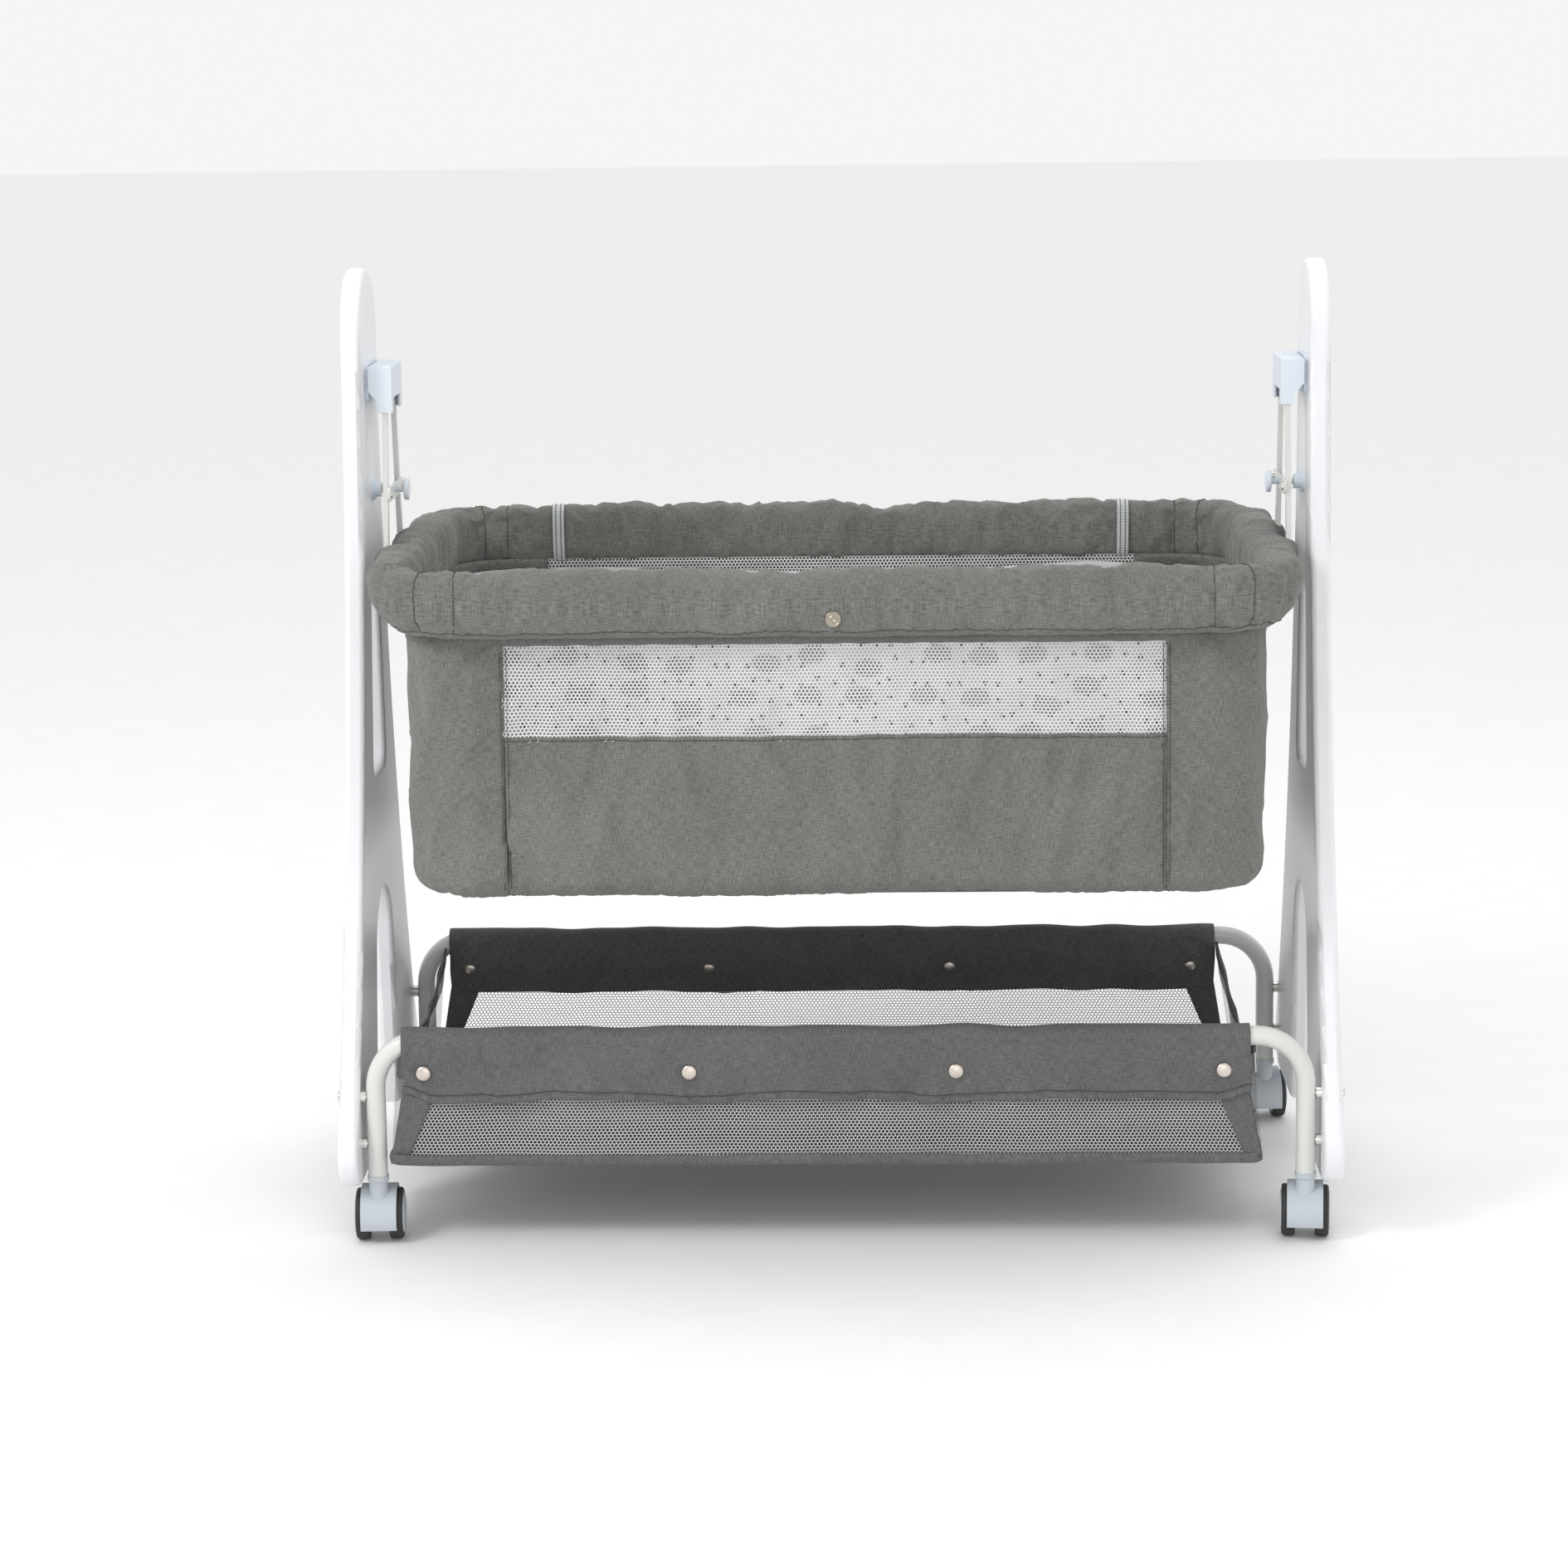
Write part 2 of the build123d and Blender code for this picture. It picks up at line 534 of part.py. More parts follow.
def basket_wall(x0, x1, thickness):
    """A sheet on the sloping line of the front wall, between two places along X."""
    top_y, top_z = -TUBE_Y - TUBE_RADIUS, BAND_BOTTOM_Z
    foot_y, foot_z = 3 - BASKET_FLOOR_HALF_Y, BASKET_FLOOR_Z + BASKET_FLOOR_THICKNESS
    half = thickness / 2
    sheet = Polygon(
        (top_y - half, top_z),
        (foot_y - half, foot_z),
        (foot_y + half, foot_z),
        (top_y + half, top_z),
        align=None,
    )
    return prism_x(sheet, x0, x1)


def basket_end_wall(side):
    """Net end wall with a sagging top edge."""
    half = TUBE_Y - TUBE_RADIUS - BAND_CLOTH - 1
    foot_z = BASKET_FLOOR_Z + BASKET_FLOOR_THICKNESS
    outline = [
        Line((-half, BASKET_END_TOP_Z), (-half, foot_z)),
        Line((-half, foot_z), (half, foot_z)),
        Line((half, foot_z), (half, BASKET_END_TOP_Z)),
        ThreePointArc((half, BASKET_END_TOP_Z), (0, BASKET_END_SAG_Z), (-half, BASKET_END_TOP_Z)),
    ]
    x = BASKET_SHIFT_X + side * (BAND_HALF_X + 4)
    return prism_x(make_face(Wire(outline)), x - 1.2, x + 1.2)


def basket_floor():
    """Basket floor with its bound edge."""
    half_x = BASKET_FLOOR_HALF_X
    slab = rounded_block(
        half_x, BASKET_FLOOR_HALF_Y, 10, BASKET_FLOOR_Z, BASKET_FLOOR_Z + BASKET_FLOOR_THICKNESS
    )
    return Pos(BASKET_SHIFT_X, 0, 0) * slab


def basket_snaps():
    """Four metal snap caps on each band."""
    caps = []
    face = TUBE_Y + TUBE_RADIUS + BAND_CLOTH
    for front in (-1, 1):
        for place in (-1.5, -0.5, 0.5, 1.5):
            x = BASKET_SHIFT_X - 2 + place * BASKET_SNAP_PITCH
            cap = Pos(x, front * (face + 0.9), BASKET_SNAP_Z) * Rot(90, 0, 0)
            caps.append(cap * Cylinder(BASKET_SNAP_RADIUS, 1.8))
    return caps


# ---- casters ------------------------------------------------------------
def caster_place(name):
    """Where a caster's swivel axis stands and how it is turned."""
    x = TUBE_LEG_X * (-1 if name.endswith("left") else 1)
    y = TUBE_Y * (-1 if name.startswith("front") else 1)
    return Pos(x, y, 0) * Rot(0, 0, CASTER_YAW[name])


def hood_sector(radius, half_width):
    """The part of a drum that the hood covers, from its low lip over the top."""
    drum = rod_x(-half_width, half_width, CASTER_TRAIL, WHEEL_RADIUS, radius)
    low = WHEEL_RADIUS - 10
    return drum & box((-30, 30), (CASTER_TRAIL - 40, CASTER_TRAIL + 21), (low, 60))


def caster_housing():
    """Hood over both wheels, web between them and boss round the stem."""
    cover = hood_sector(HOOD_RADIUS, HOOD_HALF_WIDTH)
    cover -= rod_x(-20, 20, CASTER_TRAIL, WHEEL_RADIUS, HOOD_BORE)
    cover -= box((-20, 20), (CASTER_TRAIL + 8, 60), (0, WHEEL_RADIUS + 16))
    web = hood_sector(HOOD_BORE + 1, HOOD_WEB_HALF_WIDTH)
    web -= box((-20, 20), (CASTER_TRAIL - 40, CASTER_TRAIL + 21), (0, WHEEL_RADIUS - 5))
    boss = rod_z(0, 0, WHEEL_RADIUS + 20, HOOD_TOP_Z, 9.0)
    boss -= rod_x(-20, -HOOD_WEB_HALF_WIDTH, CASTER_TRAIL, WHEEL_RADIUS, HOOD_BORE)
    boss -= rod_x(HOOD_WEB_HALF_WIDTH, 20, CASTER_TRAIL, WHEEL_RADIUS, HOOD_BORE)
    housing = cover + web + boss
    housing -= rod_z(0, 0, STEM_FOOT_Z, 70, STEM_RADIUS)
    return housing - rod_x(-20, 20, CASTER_TRAIL, WHEEL_RADIUS, AXLE_RADIUS + RUNNING_GAP)


def caster_stem():
    """Steel stem, fast in the housing."""
    return rod_z(0, 0, STEM_FOOT_Z, STEM_TOP_Z, STEM_RADIUS)


def caster_wheels():
    """Two hubs pressed on one steel axle."""
    pieces = [rod_x(-WHEEL_OUTER + 2, WHEEL_OUTER - 2, CASTER_TRAIL, WHEEL_RADIUS, AXLE_RADIUS)]
    for side in SIDES.values():
        ends = (side * WHEEL_INNER, side * WHEEL_OUTER)
        hub = rod_x(*ends, CASTER_TRAIL, WHEEL_RADIUS, TYRE_BORE)
        bore = (side * (WHEEL_INNER - 1), side * (WHEEL_OUTER - 2))
        pieces.append(hub - rod_x(*bore, CASTER_TRAIL, WHEEL_RADIUS, AXLE_RADIUS))
    return pieces


def caster_tyres():
    """Two tyres with round shoulders."""
    tyres = []
    for side in SIDES.values():
        ends = (side * WHEEL_INNER, side * WHEEL_OUTER)
        tyre = rod_x(*ends, CASTER_TRAIL, WHEEL_RADIUS, WHEEL_RADIUS)
        tyre = fillet(tyre.edges().filter_by(GeomType.CIRCLE), 2.5)
        tyres.append(tyre - rod_x(*ends, CASTER_TRAIL, WHEEL_RADIUS, TYRE_BORE))
    return tyres


def stem_socket(name):
    """Plastic plug in the foot of a tube leg, with a collar below it."""
    plug = rod_z(0, 0, TUBE_FOOT_Z, STEM_TOP_Z + 2, TUBE_BORE)
    plug += rod_z(0, 0, COLLAR_BOTTOM_Z, TUBE_FOOT_Z, COLLAR_RADIUS)
    plug -= rod_z(0, 0, COLLAR_BOTTOM_Z - 1, STEM_TOP_Z + 0.5, STEM_RADIUS + RUNNING_GAP)
    return caster_place(name) * plug


# ---- the whole object ---------------------------------------------------
def build_stand():
    """Everything that stands still."""
    for name, side in SIDES.items():
        write(f"end_panel_{name}", end_panel(side))
    write("base_tube_front", base_tube(-TUBE_Y))
    write("base_tube_rear", base_tube(TUBE_Y))
    bolts, spacers = leg_fixings()
    write("leg_bolts", bolts)
    write("leg_spacers", spacers)
    sides = SIDES.values()
    write("pivot_bolts", group(piece for side in sides for piece in pivot_bolt_and_nut(side)))
    write("pivot_plates", group(pivot_plate(side) for side in sides))
    write("lock_sockets", group(lock_socket(side) for side in sides))
    write("stem_sockets", group(stem_socket(name) for name in CASTER_YAW))


def build_basket():
    """The storage basket between the base tubes."""
    for name, band in zip(("front", "rear"), front_and_rear(basket_band())):
        write(f"basket_band_{name}", band)
    x0, x1 = basket_span(BAND_HALF_X)
    net_ends = (x0 + STRIP_WIDTH, x1 - STRIP_WIDTH)
    write("basket_nets", group(front_and_rear(basket_wall(*net_ends, 2.4))))
    strip_ends = [(x0, net_ends[0]), (net_ends[1], x1)]
    strips = [front_and_rear(basket_wall(*ends, 3.0)) for ends in strip_ends]
    write("basket_corner_strips", group(strips[0] + strips[1]))
    write("basket_end_walls", group(basket_end_wall(side) for side in SIDES.values()))
    write("basket_floor", basket_floor())
    write("basket_snaps", group(basket_snaps()))


def build_hangers():
    """Yokes, covers, bushes and locks of the swinging part."""
    for name, side in SIDES.items():
        write(f"hanger_yoke_{name}", hanger_yoke(side))
        write(f"hanger_cover_{name}", hanger_cover(side))
        write(f"lock_knob_{name}", lock_knob(side))
    sides = SIDES.values()
    write("pivot_bushes", group(pivot_bush(side) for side in sides))
    write("lock_straps", group(lock_strap(side) for side in sides))
    pairs = [(side, front) for side in sides for front in (-1, 1)]
    write("strap_bolts", group(strap_bolt(side, front) for side, front in pairs))


def build_bassinet():
    """The cloth body, its rim and what lies in it."""
    write("rim_tube", rim_tube())
    write("rim_sleeve", rim_sleeve())
    write("rim_snap", rim_snap())
    write("rim_binding", wall_ring(WINDOW_TOP_Z, SLEEVE_BOTTOM_Z))
    write("front_panel", cloth_panel(-1))
    write("rear_panel", cloth_panel(1))
    for name, side in SIDES.items():
        write(f"end_wrap_{name}", end_wrap(side))
        write(f"zip_slider_{name}", zip_slider(side))
    write("mesh_windows", group(mesh_window(front) for front in (-1, 1)))
    write("body_floor", rounded_block(
        WALL_HALF_X, WALL_HALF_Y, WALL_CORNER, BODY_BOTTOM_Z, BODY_BOTTOM_Z + FLOOR_CLOTH
    ))
    board_z = BODY_BOTTOM_Z + FLOOR_CLOTH
    write("floor_board", inner_slab(board_z, BOARD_THICKNESS, 0.5, 0))
    write("mattress", inner_slab(board_z + BOARD_THICKNESS, MATTRESS_THICKNESS, 3.0, 8))
    write("liner", liner())
    tapes = [tape for side in SIDES.values() for tape in zipper_tape(side)]
    write("zipper_tapes", group(tapes))


def build_casters():
    """Four twin-wheel casters."""
    for name in CASTER_YAW:
        place = caster_place(name)
        write(f"caster_housing_{name}", place * caster_housing())
        write(f"caster_stem_{name}", place * caster_stem())
        write(f"caster_wheels_{name}", place * group(caster_wheels()))
        write(f"caster_tyres_{name}", place * group(caster_tyres()))


os.makedirs("parts", exist_ok=True)
build_stand()
build_basket()
build_hangers()
build_bassinet()
build_casters()
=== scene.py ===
"""Looks of a rocking bassinet on a wheeled stand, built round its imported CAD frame.  Metres, +Z up."""

import json
import logging
from dataclasses import dataclass
from enum import Enum
from typing import Callable, Sequence

import bpy
import numpy as np
from mathutils import Matrix, Vector

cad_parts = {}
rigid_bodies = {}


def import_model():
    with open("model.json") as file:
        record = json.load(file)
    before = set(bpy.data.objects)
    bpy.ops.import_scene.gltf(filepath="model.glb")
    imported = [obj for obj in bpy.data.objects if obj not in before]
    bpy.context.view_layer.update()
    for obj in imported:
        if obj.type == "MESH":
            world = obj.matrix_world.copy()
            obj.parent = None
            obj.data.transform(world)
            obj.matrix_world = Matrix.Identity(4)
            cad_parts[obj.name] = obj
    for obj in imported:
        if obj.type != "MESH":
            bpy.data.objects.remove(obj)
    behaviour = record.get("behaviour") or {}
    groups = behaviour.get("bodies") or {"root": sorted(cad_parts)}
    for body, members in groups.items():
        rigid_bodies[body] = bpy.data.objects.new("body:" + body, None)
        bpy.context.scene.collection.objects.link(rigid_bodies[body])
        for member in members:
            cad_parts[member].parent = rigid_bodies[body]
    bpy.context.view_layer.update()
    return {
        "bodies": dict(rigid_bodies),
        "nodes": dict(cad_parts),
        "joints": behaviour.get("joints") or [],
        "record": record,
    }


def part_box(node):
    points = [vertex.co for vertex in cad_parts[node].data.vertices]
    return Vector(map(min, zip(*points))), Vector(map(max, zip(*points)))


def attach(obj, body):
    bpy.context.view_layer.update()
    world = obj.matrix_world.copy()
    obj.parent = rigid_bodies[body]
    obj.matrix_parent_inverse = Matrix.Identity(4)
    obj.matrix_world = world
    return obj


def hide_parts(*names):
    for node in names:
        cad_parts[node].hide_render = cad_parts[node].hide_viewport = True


log = logging.getLogger("bassinet")
Array = np.ndarray
MM = 0.001


class Side(Enum):
    """Left and right end of the bassinet."""

    LEFT = -1
    RIGHT = 1


class Face(Enum):
    """Front and rear long side."""

    FRONT = -1
    REAR = 1


# ---- numpy surfaces -----------------------------------------------------
def swell(u: Array, v: Array, seed: int, pitch: float, count: int = 9) -> Array:
    """Smooth uneven waviness of about unit height.

    Formula: a sum of sine waves with random directions and phases, whose lengths
    lie between 0.6 and 1.6 times the pitch.

    Args:
        u: first coordinate in metres.
        v: second coordinate in metres.
        seed: picks the waves.
        pitch: usual wavelength in metres.
        count: number of waves.

    Returns:
        The height at every point.
    """
    rng = np.random.default_rng(seed)
    turn = rng.uniform(0, 2 * np.pi, (2, count))
    wave = 2 * np.pi / (pitch * rng.uniform(0.6, 1.6, count))
    shape = np.multiply.outer(u, wave * np.cos(turn[0])) + np.multiply.outer(v, wave * np.sin(turn[0]))
    return np.sin(shape + turn[1]).sum(-1) / np.sqrt(count)


def bell(distance: Array, width: float) -> Array:
    """A smooth bump of height one, fallen to 1/e at the given width."""
    return np.exp(-((distance / width) ** 2))


def smooth(x: Array) -> Array:
    """Smoothstep of x clipped to 0..1."""
    x = np.clip(x, 0, 1)
    return x * x * (3 - 2 * x)


def put_mesh(name: str, points: Array, quads: Array, corner_uv: Array | None = None) -> bpy.types.Object:
    """Makes a mesh object of quads, with its cloth coordinates in the UV map named weave.

    Args:
        name: the object's name.
        points: vertices, n by 3.
        quads: vertex numbers, m by 4.
        corner_uv: UV of every corner in metres, 4m by 2.

    Returns:
        The new object.
    """
    mesh = bpy.data.meshes.new(name)
    mesh.vertices.add(len(points))
    mesh.vertices.foreach_set("co", np.ascontiguousarray(points, np.float32).ravel())
    mesh.loops.add(quads.size)
    mesh.loops.foreach_set("vertex_index", quads.ravel().astype(np.int32))
    mesh.polygons.add(len(quads))
    mesh.polygons.foreach_set("loop_start", np.arange(0, quads.size, 4, dtype=np.int32))
    mesh.update(calc_edges=True)
    mesh.polygons.foreach_set("use_smooth", np.ones(len(quads), bool))
    if corner_uv is not None:
        layer = mesh.uv_layers.new(name="weave")
        layer.data.foreach_set("uv", np.ascontiguousarray(corner_uv, np.float32).ravel())
    mesh.validate()
    obj = bpy.data.objects.new(name, mesh)
    bpy.context.scene.collection.objects.link(obj)
    return obj


def grid_piece(
    name: str, points: Array, u: Array, v: Array, closed: tuple[bool, bool] = (False, False),
    flip: bool = False,
) -> bpy.types.Object:
    """A surface over a grid of two parameters.

    Args:
        name: the object's name.
        points: grid of points, nu by nv by 3.
        u: cloth coordinate along the first direction, nu (+1 if closed).
        v: cloth coordinate along the second direction, nv (+1 if closed).
        closed: whether each direction joins up.
        flip: turns the faces round.

    Returns:
        The new object.
    """
    nu, nv = points.shape[:2]
    i, j = np.meshgrid(np.arange(nu - (not closed[0])), np.arange(nv - (not closed[1])), indexing="ij")
    i, j = i.ravel(), j.ravel()
    rows = np.stack([i, i + 1, i + 1, i], 1)
    cols = np.stack([j, j, j + 1, j + 1], 1)
    if flip:
        rows, cols = rows[:, ::-1], cols[:, ::-1]
    quads = (rows % nu) * nv + cols % nv
    uv = np.stack([u[rows.ravel()], v[cols.ravel()]], 1)
    return put_mesh(name, points.reshape(-1, 3), quads, uv)


def grid_points(piece: bpy.types.Object, shape: tuple[int, int]) -> Array:
    """A grid piece's points as they are now, nu by nv by 3.

    Args:
        piece: what grid_piece made, perhaps settled since.
        shape: nu and nv.

    Returns:
        The points.
    """
    flat = np.empty(len(piece.data.vertices) * 3, np.float32)
    piece.data.vertices.foreach_get("co", flat)
    return flat.reshape(*shape, 3).astype(float)


def solidify(piece: bpy.types.Object, thickness: float, offset: float = -1.0) -> None:
    """Gives an open sheet its real thickness.

    Args:
        piece: the sheet.
        thickness: in metres.
        offset: -1 to thicken behind the faces, 0 to both sides.
    """
    shell = piece.modifiers.new("thickness", "SOLIDIFY")
    shell.thickness = thickness
    shell.offset = offset


@dataclass(frozen=True)
class Loop:
    """A rounded rectangle in plan, walked from the middle of its front side.

    Formula: straight runs joined by quarter circles; the distance s grows towards
    +X along the front, then round the right end, the rear and the left end.
    """

    half_x: float
    half_y: float
    corner: float

    @property
    def length(self) -> float:
        """Distance once round."""
        return 4 * (self.half_x + self.half_y - 2 * self.corner) + 2 * np.pi * self.corner

    def walk(self, s: Array) -> tuple[Array, Array]:
        """Points and outward directions at distances s.

        Args:
            s: distances in metres, of any shape.

        Returns:
            Two arrays of the shape of s with a last axis of 2.
        """
        a, b, r = self.half_x - self.corner, self.half_y - self.corner, self.corner
        arc = np.pi / 2 * r
        stops = np.cumsum([0, a, arc, 2 * b, arc, 2 * a, arc, 2 * b, arc, a])
        turn = np.interp(
            np.mod(s, self.length), stops,
            np.array([0, 0, 1, 1, 2, 2, 3, 3, 4, 4]) * np.pi / 2,
        )
        along = np.interp(np.mod(s, self.length), stops, [0, a, a, a, a, -a, -a, -a, -a, 0])
        across = np.interp(np.mod(s, self.length), stops, [-b, -b, -b, b, b, b, b, -b, -b, -b])
        normal = np.stack([np.sin(turn), -np.cos(turn)], -1)
        return np.stack([along, across], -1) + r * normal, normal


def cushion(name: str, plan: Loop, low: float, inward: Array, lift: Array, wave: float) -> bpy.types.Object:
    """A closed slab with rounded edges.

    Formula: a profile of distances in from the outline and heights, carried round the
    plan and drawn in to the middle at its two ends; slow waves are added on top.

    Args:
        name: the piece's name.
        plan: outline.
        low: height of the underside.
        inward: the profile's distances in from the outline, in metres.
        lift: the profile's heights above the underside.
        wave: height of the slow waves.

    Returns:
        The piece.
    """
    s = np.linspace(0, plan.length, 241)
    grid_s, grid_in = np.meshgrid(s[:-1], inward, indexing="ij")
    _, grid_lift = np.meshgrid(s[:-1], lift, indexing="ij")
    point, normal = plan.walk(grid_s)
    share = (grid_in / inward.max())[..., None]
    xy = (point - normal * np.minimum(grid_in, 0.03)[..., None]) * (1 - share)
    hills = wave * swell(xy[..., 0], xy[..., 1], 53, 0.09) * (grid_lift > 0.7 * lift.max())
    points = np.concatenate([xy, (low + grid_lift + hills)[..., None]], -1)
    return grid_piece(name, points, s, np.cumsum(np.abs(np.gradient(inward)) + 1e-4), (True, False))


def honeycomb(inside: Callable[[Array, Array], Array], size: tuple[float, float], pitch: float,
              hole: float) -> tuple[Array, Array]:
    """A flat hexagonal net.

    Formula: pointed hexagons on a staggered lattice; each has six quads between its
    outline and a smaller hexagon, which is the hole.

    Args:
        inside: tells which cell centres (s, t) belong to the net.
        size: width and height of the sheet in metres.
        pitch: distance between neighbouring holes.
        hole: hole's size as a share of the cell.

    Returns:
        Points (n by 2) and quads (m by 4).
    """
    radius = pitch / np.sqrt(3)
    rows = int(size[1] / (1.5 * radius)) + 1
    columns = int(size[0] / pitch) + 1
    column, row = np.meshgrid(np.arange(columns), np.arange(rows), indexing="ij")
    s = (column + 0.5 * (row % 2)) * pitch - size[0] / 2
    t = row * 1.5 * radius
    keep = inside(s, t)
    centre = np.stack([s[keep], t[keep]], -1)
    angle = np.pi / 2 + np.arange(6) * np.pi / 3
    corner = radius * np.stack([np.cos(angle), np.sin(angle)], -1)
    outer = centre[:, None] + corner
    inner = centre[:, None] + corner * hole
    points = np.concatenate([outer, inner], 1).reshape(-1, 2)
    k = np.arange(6)
    ring = np.stack([k, (k + 1) % 6, (k + 1) % 6 + 6, k + 6], -1)
    quads = (np.arange(len(centre))[:, None, None] * 12 + ring).reshape(-1, 4)
    return points, quads


def stitches(name: str, path: Array, out: Array, pitch: float = 3.2 * MM) -> bpy.types.Object:
    """A row of stitches: short flat boxes of thread along a path.

    Formula: every stitch is a little box spun from the path's tangent and the
    outward direction, two thirds of the pitch long.

    Args:
        name: the object's name.
        path: points close together, n by 3.
        out: outward direction at each point, n by 3.
        pitch: distance from stitch to stitch.

    Returns:
        The new object.
    """
    step = np.r_[0, np.cumsum(np.linalg.norm(np.diff(path, axis=0), axis=1))]
    at = np.arange(pitch / 2, step[-1], pitch)
    middle = np.stack([np.interp(at, step, path[:, k]) for k in range(3)], -1)
    ahead = np.stack([np.interp(at + pitch / 4, step, path[:, k]) for k in range(3)], -1) - middle
    ahead /= np.linalg.norm(ahead, axis=1, keepdims=True) + 1e-12
    normal = np.stack([np.interp(at, step, out[:, k]) for k in range(3)], -1)
    across = np.cross(normal, ahead)
    signs = np.array([[a, b, c] for a in (-1, 1) for b in (-1, 1) for c in (-1, 1)], float)
    size = np.array([pitch * 0.34, 0.42 * MM, 0.32 * MM])
    corner = signs * size
    points = middle[:, None] + (
        corner[:, 0:1] * ahead[:, None] + corner[:, 1:2] * across[:, None] + corner[:, 2:3] * normal[:, None]
    )
    faces = np.array([[0, 1, 3, 2], [4, 6, 7, 5], [0, 4, 5, 1], [2, 3, 7, 6], [0, 2, 6, 4], [1, 5, 7, 3]])
    quads = (np.arange(len(at))[:, None, None] * 8 + faces).reshape(-1, 4)
    return put_mesh(name, points.reshape(-1, 3), quads)


def settle(piece: bpy.types.Object, held: Array, spare: float, cap: float, frames: int = 14) -> None:
    """Lets cloth with spare width buckle into its own wrinkles, then keeps the result.

    Args:
        piece: a mesh without modifiers.
        held: how firmly each vertex is held, 0..1.
        spare: share by which the cloth is wider than its frame.
        cap: how far a vertex may move, in metres.
        frames: simulation steps.
    """
    mesh = piece.data
    rest = np.empty(len(mesh.vertices) * 3, np.float32)
    mesh.vertices.foreach_get("co", rest)
    group = piece.vertex_groups.new(name="held")
    for level in np.unique(np.round(held, 1)):
        group.add(np.flatnonzero(np.round(held, 1) == level).tolist(), float(level), "REPLACE")
    cloth = piece.modifiers.new("Cloth", "CLOTH")
    settings = cloth.settings
    settings.quality = 5
    settings.mass = 0.25
    settings.tension_stiffness = 18
    settings.compression_stiffness = 18
    settings.shear_stiffness = 8
    settings.bending_stiffness = 0.6
    settings.shrink_min = -spare
    settings.vertex_group_mass = "held"
    settings.effector_weights.gravity = 0.0
    cloth.collision_settings.use_collision = False
    cloth.collision_settings.use_self_collision = False
    for frame_number in range(1, frames + 1):
        bpy.context.scene.frame_set(frame_number)
    result = piece.evaluated_get(bpy.context.evaluated_depsgraph_get()).to_mesh()
    moved = np.empty_like(rest)
    result.vertices.foreach_get("co", moved)
    shift = (moved - rest).reshape(-1, 3)
    size = np.linalg.norm(shift, axis=1, keepdims=True) + 1e-12
    shift *= cap * np.tanh(size / cap) / size
    piece.modifiers.remove(cloth)
    bpy.context.scene.frame_set(1)
    mesh.vertices.foreach_set("co", rest + shift.ravel())
    mesh.update()
    log.info("%s settled, largest move %.1f mm before the cap", piece.name, float(size.max()) * 1000)


